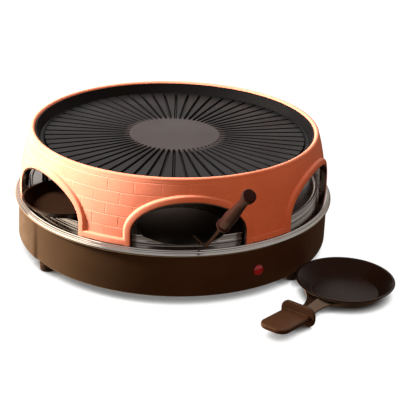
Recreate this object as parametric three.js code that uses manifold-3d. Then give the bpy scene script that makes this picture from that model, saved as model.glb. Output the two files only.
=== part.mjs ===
// A round table grill. A heated base carries a polished steel tray and a baking plate. A terracotta mantle
// with six arches stands on the tray, and a ribbed grill plate lies in the mantle's rim. A small dish stands
// in one arch, a spatula reaches out of another, and a pan with a flat grip stands on the table beside it.
// Millimetres, +Z up. The grill's axis is x = y = 0, its front faces -Y, and z = 0 is the underside of the
// bottom cover. Turns are measured from the front towards +X.
import * as THREE from "three";
import { mergeVertices } from "three/addons/utils/BufferGeometryUtils.js";
import Module from "manifold-3d";

const wasm = await Module();
wasm.setup();

// Clearances and cuts
const seatGap = 0.3;
const passGap = 0.8;
const cutOverrun = 4;

// How finely round shapes are faceted
const roundSides = 48;
const dishSides = 32;
const smallSides = 12;
const wireSides = 6;
const tubeSides = 8;
const cornerSteps = 2;
const archSteps = 16;
const loopSteps = 20;
const wireSteps = 14;
const shankSteps = 5;
const heaterStep = 15.6;

// Base shell
const baseRadius = 209.3;
const baseWall = 3;
const baseCorner = 5;
const flangeReach = 42;
const flangeThickness = 3;

// Bottom cover
const coverLap = 9;
const coverThickness = 1.2;
const ventCount = 12;
const ventRadius = 78;
const ventLength = 26;
const ventWidth = 5;

// Cover screws and the bosses that hold them
const screwCount = 6;
const screwRadius = 1.5;
const screwHeadRadius = 3.2;
const screwHeadHeight = 1.9;
const screwLength = 11;
const bossRadius = 4.4;
const bossHeight = 12;

// Feet
const footRadius = 10.5;
const footHeight = 11;
const footTaper = 0.8;
const footEdge = 1.4;
const footInset = 0.8;
const footTurn = 53;
const spigotRadius = 3;
const spigotLength = 2.4;

// Indicator lamp
const lampTurn = 32.3;
const lampHeight = 26.8;
const lensRadius = 7.2;
const lensDome = 4.2;
const lensStemRadius = 4.6;
const lensStemLength = 9;
const lampHolderWall = 2.2;
const lampHolderLength = 16;

// Cord gland, bare
const glandHeight = 22;
const glandBore = 3.6;
const glandNeckRadius = 6;
const glandFlangeRadius = 8.5;
const glandFlange = 2.4;

// Terminal block, its place inwards from the flange and its screw wells
const terminalLength = 36;
const terminalDepth = 16;
const terminalHeight = 13;
const terminalInset = 21.3;
const terminalWellRadius = 2.2;
const terminalWellDepth = 5;
const terminalPoles = 3;

// Thermal cut-out
const cutoutRadius = 8;
const cutoutHeight = 7;
const cutoutPlace = 62;

// Steel tray
const platformHeight = 65;
const platformInset = 0.1;
const platformUnder = 5.9;
const trayThickness = 1.2;
const wellDepth = 18;
const wellCorner = 5;
const lipReach = 5;
const lipBead = 2.2;
const lipDrop = 6;
const ridgeHeight = 0.9;

// Baking plate
const bakingInset = 9;
const bakingRise = 11;
const bakingThickness = 3;
const bakingBead = 1.5;
const bakingBeadWidth = 4.5;
const skirtThickness = 2;
const skirtFlange = 1.2;
const skirtFlangeHeight = 2.2;

// Mantle
const mantleHeight = 86.4;
const mantleWall = 5;
const mantleInset = 4.7;
const mantleStraight = 11.7;
const mantleLean = 12.7;
const rimNose = 3.2;
const pocketDepth = 18.4;
const ledgeThickness = 4.5;
const ledgeReach = 7.8;
const archCount = 6;
const archTurn = 7.2;
const archHalfWidth = 70;
const archLeg = 16.5;
const archRise = 41.5;
const mouldingWidth = 7.2;
const mouldingProud = 3.5;
const mouldingBand = 7.6;
const wallSteps = 4;

// Mantle liner
const linerThickness = 1.3;
const linerTopDrop = 3;
const collarThickness = 1.2;
const collarSetback = 1;

// Grill plate
const plateDrop = 3.6;
const plateRimThickness = 1.6;
const plateRimHeight = 16;
const plateFloorRise = 1.2;
const plateTroughWidth = 5.4;
const plateWallLean = 4.4;
const ribHeight = 3.8;
const ribShoulder = 1;
const grooveCount = 60;
const grooveTurn = 1.2;
const grooveWidth = 3.2;
const grooveDepth = 4;
const grooveStart = 60;

// Heaters
const heaterRadius = 3.25;
const lowerLoopInset = 55;
const upperLoopInset = 56;
const heaterPinGap = 28;
const heaterTail = 10;
const upperLegGap = 22;
const postInset = 15.6;
const carrierHeight = 49;
const carrierThickness = 1.5;
const carrierBand = 20;
const carrierArmWidth = 14;
const saddleWidth = 15;
const saddleHeight = 14;
const saddleDepth = 8;
const saddleCount = 3;
const clipStrap = 1.2;
const clipFoot = 6;
const clipDepth = 8;

// Posts under the carrier, their nuts, and the ceramic bushes round the heater ends
const postCount = 3;
const postTurn = 37.2;
const postRadius = 4.2;
const postStubRadius = 2.6;
const postStubLength = 7;
const nutRadius = 4.8;
const nutHeight = 4;
const upperLegTurn = 217.2;
const bushFlangeRadius = 7;
const bushFlange = 3;
const bushNeckRadius = 5.2;
const bushNeckLength = 4;

// Leads inside the base
const leadRadius = 1.2;

// Dish in the arch
const dishTurn = -51;
const dishInset = 33.5;
const dishRimRadius = 57.5;
const dishFloorRadius = 46;
const dishHeight = 12.2;
const dishWall = 1.5;

// Spatula
const spatulaTurn = 26.1;
const bladeInset = 39.5;
const bladeTurn = 5.2;
const bladeRadius = 56;
const bladeThickness = 1.2;
const rodRadius = 2.2;
const rodLap = 18;
const rodOverhang = 13;
const rodTilt = 46.1;
const rodReach = 62.5;
const rodTang = 24;
const gripLength = 86;
const gripCollarRadius = 8.8;
const gripCollarLength = 3;
const gripBodyRadius = 6.8;
const gripNeckRadius = 5.2;
const gripKnobRadius = 8.3;
const gripKnobLength = 8;

// Pan beside the grill
const panTurn = 55.3;
const panGap = 0.5;
const panHandleTurn = -37;
const panRimRadius = 63;
const panFloorRadius = 44;
const panHeight = 19;
const panWall = 1.5;
const shankRootWidth = 60;
const shankTipWidth = 21;
const shankRootReach = 13;
const shankRootRidge = 3;
const shankRidge = 7;
const shankDrop = 4.6;
const shankRun = 14;
const shankThickness = 2;
const shankLength = 42;
const tangWidth = 12;
const tangLength = 30;
const tangLap = 4;
const tangRidge = 0.4;
const shieldWidth = 48;
const shieldHeight = 26;
const shieldThickness = 4;
const shieldCorner = 11;
const tongueWidth = 38;
const tongueThickness = 6.4;
const tongueLength = 59;
const tongueCorner = 13;
const tongueHeight = 11.6;
const tongueRise = 5;

// Radii and places worked out from the sizes above, from the base's radius inwards
const lipRadius = baseRadius + lipReach;
const platformOuter = baseRadius - platformInset;
const mantleFootRadius = platformOuter - mantleInset;
const bakingRadius = mantleFootRadius - bakingInset;
const platformInner = bakingRadius - platformUnder;
const postRing = platformInner - postInset;
const lowerLoopRadius = postRing - lowerLoopInset;
const upperLoopRadius = postRing - upperLoopInset;
const dishPlace = mantleFootRadius - dishInset;
const bladePlace = mantleFootRadius - bladeInset;
const terminalPlace = baseRadius - flangeReach - terminalInset;
const panPlace = baseRadius + panRimRadius + panGap;

// Levels worked out from the sizes above
const baseTop = platformHeight - trayThickness - seatGap;
const wellFloor = platformHeight - wellDepth;
const bakingSeat = platformHeight + seatGap;
const bakingTop = platformHeight + bakingRise;
const mantleSeat = platformHeight + seatGap;
const ledgeTop = mantleHeight - pocketDepth;
const tableLevel = -footHeight;
const coverRadius = baseRadius - flangeReach + coverLap;
const screwRing = coverRadius - coverLap / 2;
const footRing = baseRadius - footInset - footRadius;
const carrierLevel = wellFloor + seatGap + bakingRise + carrierHeight + seatGap;
const lowerLoopLevel = wellFloor + seatGap + saddleHeight;
const upperLoopLevel = carrierLevel + carrierThickness + seatGap + heaterRadius;

const terracotta = { color: 0xc8754c, roughness: 0.55, metalness: 0 };
const brownPlastic = { color: 0x3a2618, roughness: 0.5, metalness: 0 };
const darkPlastic = { color: 0x24170f, roughness: 0.6, metalness: 0 };
const polishedSteel = { color: 0xc9c6c0, roughness: 0.15, metalness: 1 };
const plainSteel = { color: 0x9a9894, roughness: 0.4, metalness: 1 };
const coatedAluminium = { color: 0x2a292b, roughness: 0.45, metalness: 0.3 };
const darkEnamel = { color: 0x2b1d18, roughness: 0.5, metalness: 0.2 };
const heaterSheath = { color: 0x5b5550, roughness: 0.5, metalness: 1 };
const redLens = { color: 0xa01028, roughness: 0.2, metalness: 0 };
const ceramic = { color: 0xe6e0d4, roughness: 0.6, metalness: 0 };
const blackRubber = { color: 0x1a1614, roughness: 0.8, metalness: 0 };

const grill = new THREE.Group();

function radians(degrees) {
  return THREE.MathUtils.degToRad(degrees);
}

function p(across, up) {
  return new THREE.Vector2(across, up);
}

// Points of an arc in a profile, from one turn to another in degrees.
function arc(across, up, radius, from, to, steps = cornerSteps) {
  const points = [];
  for (let i = 0; i <= steps; i += 1) {
    const turn = radians(from + ((to - from) * i) / steps);
    points.push(p(across + radius * Math.cos(turn), up + radius * Math.sin(turn)));
  }
  return points;
}

// A profile of radius and height turned about Z. A profile that leaves the axis closes on itself.
function turned(profile, sides = roundSides) {
  const outline = THREE.ShapeUtils.area(profile) > 0 ? [...profile] : [...profile].reverse();
  const onAxis = outline.some((point) => point.x === 0);
  if (!onAxis) outline.push(outline[0].clone());
  while (onAxis && !(outline[0].x === 0 && outline[outline.length - 1].x === 0)) outline.push(outline.shift());
  return new THREE.LatheGeometry(outline, sides).rotateX(Math.PI / 2);
}

// A flat shape made into a plate of this thickness, from z = 0 up. Each of its arcs takes this many steps.
function plate(shape, thickness, steps = 2 * cornerSteps) {
  return new THREE.ExtrudeGeometry(shape, { depth: thickness, bevelEnabled: false, curveSegments: steps / 2 });
}

function circle(radius) {
  return new THREE.Shape().absarc(0, 0, radius, 0, 2 * Math.PI);
}

function rounded(width, height, corner) {
  const x = width / 2;
  const y = height / 2;
  const shape = new THREE.Shape();
  shape.absarc(x - corner, y - corner, corner, 0, Math.PI / 2);
  shape.absarc(corner - x, y - corner, corner, Math.PI / 2, Math.PI);
  shape.absarc(corner - x, corner - y, corner, Math.PI, 1.5 * Math.PI);
  shape.absarc(x - corner, corner - y, corner, 1.5 * Math.PI, 2 * Math.PI);
  return shape;
}

// A round tube or wire along a curve.
function tube(curve, radius, sides, steps) {
  const shape = circle(radius);
  return new THREE.ExtrudeGeometry(shape, {
    extrudePath: curve,
    steps,
    curveSegments: sides / 2,
    bevelEnabled: false,
  });
}

function box(width, depth, height) {
  return new THREE.BoxGeometry(width, depth, height);
}

// A closed solid from a geometry, with shared corners merged and flat triangles dropped.
function solid(geometry) {
  const bare = new THREE.BufferGeometry();
  bare.setAttribute("position", geometry.getAttribute("position"));
  bare.setIndex(geometry.getIndex());
  const welded = mergeVertices(bare);
  const index = welded.getIndex().array;
  const corners = [];
  for (let i = 0; i < index.length; i += 3) {
    const [a, b, c] = index.slice(i, i + 3);
    if (a !== b && b !== c && c !== a) corners.push(a, b, c);
  }
  const vertProperties = new Float32Array(welded.getAttribute("position").array);
  return new wasm.Manifold(new wasm.Mesh({ numProp: 3, vertProperties, triVerts: new Uint32Array(corners) }));
}

function geometryOf(body) {
  const { vertProperties, triVerts } = body.getMesh();
  const geometry = new THREE.BufferGeometry();
  geometry.setAttribute("position", new THREE.BufferAttribute(new Float32Array(vertProperties), 3));
  geometry.setIndex(new THREE.BufferAttribute(new Uint32Array(triVerts), 1));
  geometry.computeVertexNormals();
  return geometry;
}

// The same geometry at evenly spaced turns about Z.
function around(count, firstTurn, makeGeometry) {
  const step = 360 / count;
  return Array.from({ length: count }, (_, i) => makeGeometry(i).rotateZ(radians(firstTurn + i * step)));
}

function cut(body, geometries) {
  return geometries.reduce((rest, geometry) => rest.subtract(solid(geometry)), body);
}

function join(body, geometries) {
  return geometries.reduce((whole, geometry) => whole.add(solid(geometry)), body);
}

// A named piece in the scene. Its geometry may be a three.js geometry or a cut solid.
function piece(name, shape, look, parent = grill) {
  const geometry = shape.isBufferGeometry ? geometryOf(solid(shape)) : geometryOf(shape);
  const mesh = new THREE.Mesh(geometry, new THREE.MeshStandardMaterial(look));
  mesh.name = name;
  parent.add(mesh);
  return mesh;
}

// Places a piece at a turn about Z, at this radius and height.
function placeAt(mesh, turn, radius, height) {
  mesh.position.set(radius * Math.sin(radians(turn)), -radius * Math.cos(radians(turn)), height);
  mesh.rotation.z = radians(turn);
  return mesh;
}

// Turns a piece so that its own +Z points outwards from the axis.
function faceOut(mesh, turn, radius, height) {
  placeAt(mesh, turn, radius, height);
  mesh.rotation.set(Math.PI / 2, 0, radians(turn), "ZXY");
  return mesh;
}

// A point at a turn about Z, at this radius and height.
function pointAt(turn, radius, height, aside = 0) {
  const angle = radians(turn);
  return new THREE.Vector3(
    radius * Math.sin(angle) + aside * Math.cos(angle),
    -radius * Math.cos(angle) + aside * Math.sin(angle),
    height,
  );
}

// A cylinder standing on z = low, at a turn and radius.
function pillar(radius, low, high, place = 0, sides = smallSides) {
  return turned([p(0, low), p(radius, low), p(radius, high), p(0, high)], sides).translate(0, -place, 0);
}

// The base shell has a rounded lower corner, a flange that takes the cover, and a boss for each screw.
function baseShell() {
  const flangeInner = baseRadius - flangeReach;
  const rebate = coverThickness + seatGap;
  const rebateRadius = coverRadius + seatGap;
  const profile = [
    p(flangeInner, rebate),
    p(rebateRadius, rebate),
    p(rebateRadius, 0),
    ...arc(baseRadius - baseCorner, baseCorner, baseCorner, -90, 0),
    p(baseRadius, baseTop),
    p(baseRadius - baseWall, baseTop),
    ...arc(baseRadius - baseCorner, baseCorner, baseCorner - baseWall, 0, -90),
    p(rebateRadius + flangeThickness, flangeThickness),
    p(rebateRadius + flangeThickness, rebate + flangeThickness),
    p(flangeInner, rebate + flangeThickness),
  ];
  const bossTop = rebate + flangeThickness + bossHeight;
  const bosses = around(screwCount, 0, () => pillar(bossRadius, rebate + flangeThickness / 2, bossTop, screwRing));
  const pilotTop = rebate + screwLength + seatGap;
  const pilots = around(screwCount, 0, () => pillar(screwRadius + seatGap, -cutOverrun, pilotTop, screwRing));
  const spigots = footTurns().map((turn) =>
    pillar(spigotRadius + seatGap, -cutOverrun, spigotLength + seatGap, footRing).rotateZ(radians(turn)),
  );
  const wallCut = baseWall + 2 * cutOverrun;
  const sideHole = (radius, turn, height) =>
    pillar(radius, 0, wallCut)
      .rotateX(Math.PI / 2)
      .translate(0, -(baseRadius - baseWall - cutOverrun), height)
      .rotateZ(radians(turn));
  const holes = [
    sideHole(lensStemRadius + seatGap, lampTurn, lampHeight),
    sideHole(glandNeckRadius + seatGap, 180, glandHeight),
  ];
  return cut(join(solid(turned(profile)), bosses), [...pilots, ...spigots, ...holes]);
}

function footTurns() {
  return [footTurn, 180 - footTurn, 180 + footTurn, 360 - footTurn];
}

// The cover is a flat disc with vent slots and a hole for each screw.
function bottomCover() {
  const disc = turned([p(0, 0), p(coverRadius, 0), p(coverRadius, coverThickness), p(0, coverThickness)]);
  const cutDepth = coverThickness + 2 * cutOverrun;
  const slots = around(ventCount, 0, () =>
    plate(rounded(ventWidth, ventLength, ventWidth / 2), cutDepth, cornerSteps).translate(0, -ventRadius, -cutOverrun),
  );
  const holes = around(screwCount, 0, () =>
    pillar(screwRadius + seatGap, -cutOverrun, coverThickness + cutOverrun, screwRing),
  );
  return cut(solid(disc), [...slots, ...holes]);
}

// A pan-head screw, with its head below z = 0 and its shank up.
function coverScrew() {
  const crown = screwHeadHeight / 3;
  return turned(
    [
      p(0, -screwHeadHeight - seatGap),
      p(screwHeadRadius - crown, -screwHeadHeight - seatGap),
      p(screwHeadRadius, crown - screwHeadHeight - seatGap),
      p(screwHeadRadius, -seatGap),
      p(screwRadius, -seatGap),
      p(screwRadius, screwLength),
      p(0, screwLength),
    ],
    smallSides,
  );
}

// A foot hangs from the flange by its spigot. Its own z = 0 is the flange's underside.
function foot() {
  const low = footRadius - footTaper;
  return turned(
    [
      p(0, -footHeight),
      ...arc(low - footEdge, footEdge - footHeight, footEdge, -90, 0),
      p(footRadius, -seatGap),
      p(spigotRadius, -seatGap),
      p(spigotRadius, spigotLength),
      p(0, spigotLength),
    ],
    smallSides,
  );
}

// The lens is a low dome outside the wall with a stem through it. Its own z = 0 is the wall's face.
function lens() {
  const dome = [];
  for (let i = 0; i <= cornerSteps; i += 1) {
    const turn = (Math.PI / 2) * (i / cornerSteps);
    dome.push(p(lensRadius * Math.cos(turn), 2 * seatGap + lensDome * Math.sin(turn)));
  }
  dome[dome.length - 1].x = 0;
  return turned([p(0, -lensStemLength), p(lensStemRadius, -lensStemLength), p(lensStemRadius, seatGap),
    p(lensRadius, seatGap), ...dome], smallSides);
}

// The lamp holder is a cup that the lens stem plugs into, behind the wall.
function lampHolder() {
  const mouth = -(baseWall + 3 * seatGap);
  const bore = lensStemRadius + seatGap;
  const outer = bore + lampHolderWall;
  return turned(
    [
      p(0, mouth - lampHolderLength),
      p(outer, mouth - lampHolderLength),
      p(outer, mouth),
      p(bore, mouth),
      p(bore, -lensStemLength - seatGap),
      p(0, -lensStemLength - seatGap),
    ],
    smallSides,
  );
}

// The gland is a rubber grommet held by its groove. Its own z = 0 is the wall's outer face.
function cordGland() {
  const inside = -(baseWall + 3 * seatGap);
  return turned(
    [
      p(glandBore, glandFlange),
      p(glandBore, inside - glandFlange),
      p(glandFlangeRadius, inside - glandFlange),
      p(glandFlangeRadius, inside),
      p(glandNeckRadius, inside),
      p(glandNeckRadius, seatGap),
      p(glandFlangeRadius, seatGap),
      p(glandFlangeRadius - glandFlange / 2, glandFlange),
    ],
    smallSides,
  );
}

// The terminal block stands on the cover, with a screw well over each pole.
function terminalBlock() {
  const block = box(terminalLength, terminalDepth, terminalHeight).translate(0, 0, terminalHeight / 2);
  const pitch = terminalLength / terminalPoles;
  const wells = Array.from({ length: terminalPoles }, (_, i) =>
    pillar(terminalWellRadius, terminalHeight - terminalWellDepth, terminalHeight + cutOverrun, 0, tubeSides)
      .translate((i - (terminalPoles - 1) / 2) * pitch, 0, 0),
  );
  return cut(solid(block), wells);
}

function thermalCutout() {
  const cap = cutoutHeight / 3;
  return turned(
    [
      p(0, 0),
      p(cutoutRadius - cap, 0),
      p(cutoutRadius - cap, cutoutHeight - cap),
      p(cutoutRadius, cutoutHeight - cap),
      p(cutoutRadius, cutoutHeight),
      p(0, cutoutHeight),
    ],
    smallSides,
  );
}

// Where the heater ends and posts go down through the tray.
function pinPoints() {
  const half = heaterPinGap / 2;
  return [-half, half].map((aside) => pointAt(180, lowerLoopRadius, 0, aside));
}

function legPoints() {
  const half = upperLegGap / 2;
  return [-half, half].map((aside) => pointAt(upperLegTurn, postRing, 0, aside));
}

function postTurns() {
  return Array.from({ length: postCount }, (_, i) => postTurn + (i * 360) / postCount);
}

function postPoints() {
  return postTurns().map((turn) => pointAt(turn, postRing, 0));
}

function holesAt(points, radius, low, high) {
  return points.map((point) => pillar(radius, low, high).translate(point.x, point.y, 0));
}

// The tray is one polished sheet: a well, a flat platform, a ridge and a rolled lip over the base wall.
function steelTray() {
  const under = platformHeight - trayThickness;
  const lipCentre = lipRadius - lipBead;
  const lipLevel = platformHeight - lipDrop;
  const ridge = (lipCentre + platformOuter) / 2;
  const wellRadius = platformInner + trayThickness;
  const profile = [
    p(0, wellFloor - trayThickness),
    ...arc(wellRadius - wellCorner, wellFloor - trayThickness + wellCorner, wellCorner, -90, 0),
    p(wellRadius, under),
    p(lipCentre - lipBead, under),
    p(lipCentre - lipBead, lipLevel),
    ...arc(lipCentre, lipLevel, lipBead, 180, 420, 2 * cornerSteps),
    p(ridge + ridgeHeight, platformHeight - lipDrop / 3),
    p(ridge, platformHeight - lipDrop / 3 + ridgeHeight),
    p(platformOuter, platformHeight),
    p(platformInner, platformHeight),
    ...arc(wellRadius - wellCorner, wellFloor + wellCorner - trayThickness, wellCorner - trayThickness, 0, -90),
    p(0, wellFloor),
  ];
  const low = wellFloor - trayThickness - cutOverrun;
  const high = wellFloor + cutOverrun;
  return cut(solid(turned(profile)), [
    ...holesAt([...pinPoints(), ...legPoints()], bushNeckRadius + seatGap, low, high),
    ...holesAt(postPoints(), postStubRadius + seatGap, low, high),
  ]);
}

// The baking plate is a disc with a raised bead and a skirt that stands on the platform.
function bakingPlate() {
  const surface = bakingTop - bakingBead;
  const skirt = bakingRadius - bakingBead;
  const profile = [
    p(0, surface - bakingThickness),
    p(skirt - skirtThickness, surface - bakingThickness),
    p(skirt - skirtThickness, bakingSeat),
    p(skirt + skirtFlange, bakingSeat),
    p(skirt + skirtFlange, bakingSeat + skirtFlangeHeight),
    p(skirt, bakingSeat + skirtFlangeHeight + skirtFlange),
    p(skirt, surface - bakingThickness / 2),
    p(bakingRadius, surface),
    p(bakingRadius - bakingBeadWidth / 3, bakingTop),
    p(bakingRadius - (2 * bakingBeadWidth) / 3, bakingTop),
    p(bakingRadius - bakingBeadWidth, surface),
    p(0, surface),
  ];
  const low = surface - bakingThickness - cutOverrun;
  const high = surface + cutOverrun;
  return cut(solid(turned(profile)), [
    ...holesAt(legPoints(), heaterRadius + passGap, low, high),
    ...holesAt(postPoints(), postRadius + passGap, low, high),
  ]);
}

// The mantle's outer radius at a height above its own foot.
function mantleRadius(height) {
  const share = Math.max(0, height - mantleStraight) / (mantleHeight - mantleStraight);
  return mantleFootRadius - mantleLean * share ** 2;
}

// Points down or up the mantle wall, this far out from its outer face.
function mantleLine(from, to, outBy, steps = wallSteps) {
  return Array.from({ length: steps + 1 }, (_, i) => {
    const height = from + ((to - from) * i) / steps;
    return p(mantleRadius(height) + outBy, height);
  });
}

// The outline of an arch, widened all round by growth.
function archOutline(growth) {
  const half = archHalfWidth + growth;
  const shape = new THREE.Shape();
  shape.moveTo(-half, -cutOverrun);
  shape.lineTo(half, -cutOverrun);
  shape.lineTo(half, archLeg);
  shape.absellipse(0, archLeg, half, archRise + growth, 0, Math.PI);
  return shape;
}

// The arch outline pushed outwards through the wall, at every arch.
function archBars(growth) {
  const inner = mantleFootRadius * Math.cos(Math.asin((archHalfWidth + growth) / mantleFootRadius))
    - mantleLean - mantleWall - cutOverrun;
  const depth = mantleFootRadius + mouldingProud + cutOverrun - inner;
  return around(archCount, archTurn, () =>
    plate(archOutline(growth), depth, archSteps).translate(0, 0, inner).rotateX(Math.PI / 2),
  );
}

const archGrowth = collarThickness + seatGap;

// The mantle wall has a ledge for the grill plate, and a moulding round each arch and along each foot.
function mantleShell() {
  const noseHeight = mantleHeight - rimNose;
  const noseCentre = mantleRadius(noseHeight) - rimNose;
  const pocket = noseCentre - rimNose;
  const ledgeUnder = ledgeTop - ledgeThickness;
  const wall = [
    p(mantleFootRadius, 0),
    ...mantleLine(mantleStraight, noseHeight, 0),
    ...arc(noseCentre, noseHeight, rimNose, 0, 180, 2 * cornerSteps).slice(1),
    p(pocket, ledgeTop),
    p(pocket - ledgeReach, ledgeTop),
    p(pocket - ledgeReach, ledgeUnder),
    ...mantleLine(ledgeUnder, mantleStraight, -mantleWall, cornerSteps),
    p(mantleFootRadius - mantleWall, 0),
  ];
  const frameTop = archLeg + archRise + archGrowth + mouldingWidth + cutOverrun;
  const skin = [
    p(mantleFootRadius + mouldingProud, 0),
    ...mantleLine(mantleStraight, frameTop, mouldingProud),
    ...mantleLine(frameTop, mantleStraight, -mantleWall / 2, cornerSteps),
    p(mantleFootRadius - mantleWall / 2, 0),
  ];
  const far = mantleFootRadius + mouldingProud + cutOverrun;
  const near = mantleFootRadius - mantleWall - cutOverrun;
  const band = turned([p(near, -cutOverrun), p(far, -cutOverrun), p(far, mouldingBand), p(near, mouldingBand)]);
  const frames = join(solid(band), archBars(archGrowth + mouldingWidth));
  const moulding = solid(turned(skin)).intersect(frames);
  return cut(solid(turned(wall)).add(moulding), archBars(archGrowth));
}

// The liner is a thin dark band inside the mantle with a collar through each arch.
function mantleLiner() {
  const top = ledgeTop - ledgeThickness - linerTopDrop;
  const outer = -(mantleWall + seatGap);
  const core = [
    p(0, -cutOverrun),
    p(mantleFootRadius + outer, -cutOverrun),
    ...mantleLine(mantleStraight, top + cutOverrun, outer, cornerSteps),
    p(0, top + cutOverrun),
  ];
  const collarOut = mouldingProud - collarSetback;
  const sleeve = [
    p(mantleFootRadius + collarOut, seatGap),
    ...mantleLine(mantleStraight, top, collarOut, cornerSteps),
    ...mantleLine(top, mantleStraight, outer - linerThickness, cornerSteps),
    p(mantleFootRadius + outer - linerThickness, seatGap),
  ];
  const kept = join(solid(turned(core)), archBars(collarThickness));
  return cut(solid(turned(sleeve)).intersect(kept), archBars(0));
}

function pocketRadius() {
  return mantleRadius(mantleHeight - rimNose) - 2 * rimNose;
}

// The grill plate is a cast disc with a rim and radial grooves round a smooth centre.
function grillPlate() {
  const rim = pocketRadius() - seatGap;
  const drop = pocketRadius() - ledgeReach - passGap;
  const trough = rim - plateRimThickness - plateWallLean;
  const ribEdge = trough - plateTroughWidth;
  const ribTop = plateFloorRise + ribHeight;
  const profile = [
    p(0, -plateDrop),
    p(drop, -plateDrop),
    p(drop, 0),
    p(rim, 0),
    p(rim, plateRimHeight),
    p(rim - plateRimThickness, plateRimHeight),
    p(trough, plateFloorRise + ribShoulder),
    p(trough - ribShoulder, plateFloorRise),
    p(ribEdge, plateFloorRise),
    p(ribEdge - ribShoulder, ribTop),
    p(0, ribTop),
  ];
  const length = ribEdge + ribShoulder - grooveStart;
  const grooves = around(grooveCount, grooveTurn, () =>
    box(grooveWidth, length, grooveDepth + cutOverrun).translate(
      0,
      -(grooveStart + length / 2),
      ribTop + cutOverrun / 2 - grooveDepth / 2,
    ),
  );
  return cut(solid(turned(profile)), grooves);
}

// Points of a flat loop round the axis between two turns.
function loopPoints(radius, height, from, to) {
  return Array.from({ length: loopSteps }, (_, i) =>
    pointAt(from + ((to - from) * i) / (loopSteps - 1), radius, height),
  );
}

// A heater's sheath along a smooth line through its points, with a ring at each step of its length.
function heaterTube(points) {
  const line = new THREE.CatmullRomCurve3(points, false, "centripetal");
  return tube(line, heaterRadius, tubeSides, Math.round(line.getLength() / heaterStep));
}

// The lower heater is one loop with both ends turned down through the tray.
function lowerHeater() {
  const half = heaterPinGap / 2;
  const bend = 3 * heaterRadius;
  const tail = wellFloor - heaterTail;
  const opening = THREE.MathUtils.radToDeg((half + bend) / lowerLoopRadius);
  const loop = loopPoints(lowerLoopRadius, lowerLoopLevel, 180 - opening, opening - 180);
  const end = (point, side) => [
    new THREE.Vector3(point.x, point.y, lowerLoopLevel - bend / 3).add(new THREE.Vector3((side * bend) / 8, 0, 0)),
    new THREE.Vector3(point.x, point.y, lowerLoopLevel - bend),
    new THREE.Vector3(point.x, point.y, tail),
  ];
  const [right, left] = pinPoints();
  const points = [...end(right, 1).reverse(), ...loop, ...end(left, -1)];
  return heaterTube(points);
}

// The upper heater's two legs rise behind one foot of the mantle and bend in to its loop.
function upperHeater() {
  const half = upperLegGap / 2;
  const bend = 3 * heaterRadius;
  const tail = wellFloor - heaterTail;
  const opening = THREE.MathUtils.radToDeg((half + 2 * bend) / upperLoopRadius);
  const loop = loopPoints(upperLoopRadius, upperLoopLevel, opening, 360 - opening);
  const leg = (side) => [
    new THREE.Vector3(side * half, -postRing, tail),
    new THREE.Vector3(side * half, -postRing, wellFloor),
    new THREE.Vector3(side * half, -postRing, bakingTop),
    new THREE.Vector3(side * half, -postRing, upperLoopLevel - 2 * bend),
    new THREE.Vector3(side * half, -postRing + bend / 4, upperLoopLevel - bend),
    new THREE.Vector3(side * half, -postRing + bend, upperLoopLevel - bend / 4),
    new THREE.Vector3(side * half, -postRing + 2 * bend, upperLoopLevel),
    new THREE.Vector3(side * half, -upperLoopRadius - 2 * bend, upperLoopLevel),
  ];
  const points = [...leg(1), ...loop, ...leg(-1).reverse()];
  return heaterTube(points);
}

// A saddle stands on the tray floor and holds the lower heater in its notch.
function saddle() {
  const half = saddleWidth / 2;
  const notch = heaterRadius + 2 * seatGap;
  const shape = new THREE.Shape();
  shape.moveTo(-half, 0);
  shape.lineTo(half, 0);
  shape.lineTo(half, saddleHeight);
  shape.absarc(0, saddleHeight, notch, 0, -Math.PI, true);
  shape.lineTo(-half, saddleHeight);
  return plate(shape, saddleDepth, tubeSides).translate(0, 0, -saddleDepth / 2).rotateX(Math.PI / 2)
    .rotateZ(Math.PI / 2);
}

// A clip straps the upper heater to the carrier. Its own z = 0 is the carrier's top.
function heaterClip() {
  const inner = heaterRadius + 2 * seatGap;
  const outer = inner + clipStrap;
  const middle = seatGap + heaterRadius;
  const foot = outer + clipFoot;
  const shape = new THREE.Shape();
  shape.moveTo(inner, seatGap);
  shape.lineTo(foot, seatGap);
  shape.lineTo(foot, seatGap + clipStrap);
  shape.lineTo(outer, seatGap + clipStrap);
  shape.absarc(0, middle, outer, 0, Math.PI);
  shape.lineTo(-outer, seatGap + clipStrap);
  shape.lineTo(-foot, seatGap + clipStrap);
  shape.lineTo(-foot, seatGap);
  shape.lineTo(-inner, seatGap);
  shape.absarc(0, middle, inner, Math.PI, 0, true);
  return plate(shape, clipDepth, tubeSides).translate(0, 0, -clipDepth / 2).rotateX(Math.PI / 2)
    .rotateZ(Math.PI / 2);
}

// The carrier is a flat ring with an arm to each post.
function heaterCarrier() {
  const inner = upperLoopRadius - carrierBand / 2;
  const outer = upperLoopRadius + carrierBand / 2;
  const ring = [p(inner, 0), p(outer, 0), p(outer, carrierThickness), p(inner, carrierThickness)];
  const armEnd = postRing + carrierArmWidth / 2;
  const length = armEnd - upperLoopRadius;
  const arms = around(postCount, postTurn, () =>
    plate(rounded(carrierArmWidth, length, carrierArmWidth / 3), carrierThickness).translate(
      0,
      -(upperLoopRadius + length / 2),
      0,
    ),
  );
  const holes = holesAt(postPoints(), postStubRadius + seatGap, -cutOverrun, carrierThickness + cutOverrun);
  return cut(join(solid(turned(ring)), arms), holes);
}

// A post has a stub through the tray below and one through the carrier above.
function post() {
  const shoulder = wellFloor + seatGap;
  const top = carrierLevel - seatGap;
  return turned(
    [
      p(0, shoulder - postStubLength),
      p(postStubRadius, shoulder - postStubLength),
      p(postStubRadius, shoulder),
      p(postRadius, shoulder),
      p(postRadius, top),
      p(postStubRadius, top),
      p(postStubRadius, top + postStubLength),
      p(0, top + postStubLength),
    ],
    smallSides,
  );
}

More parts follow.
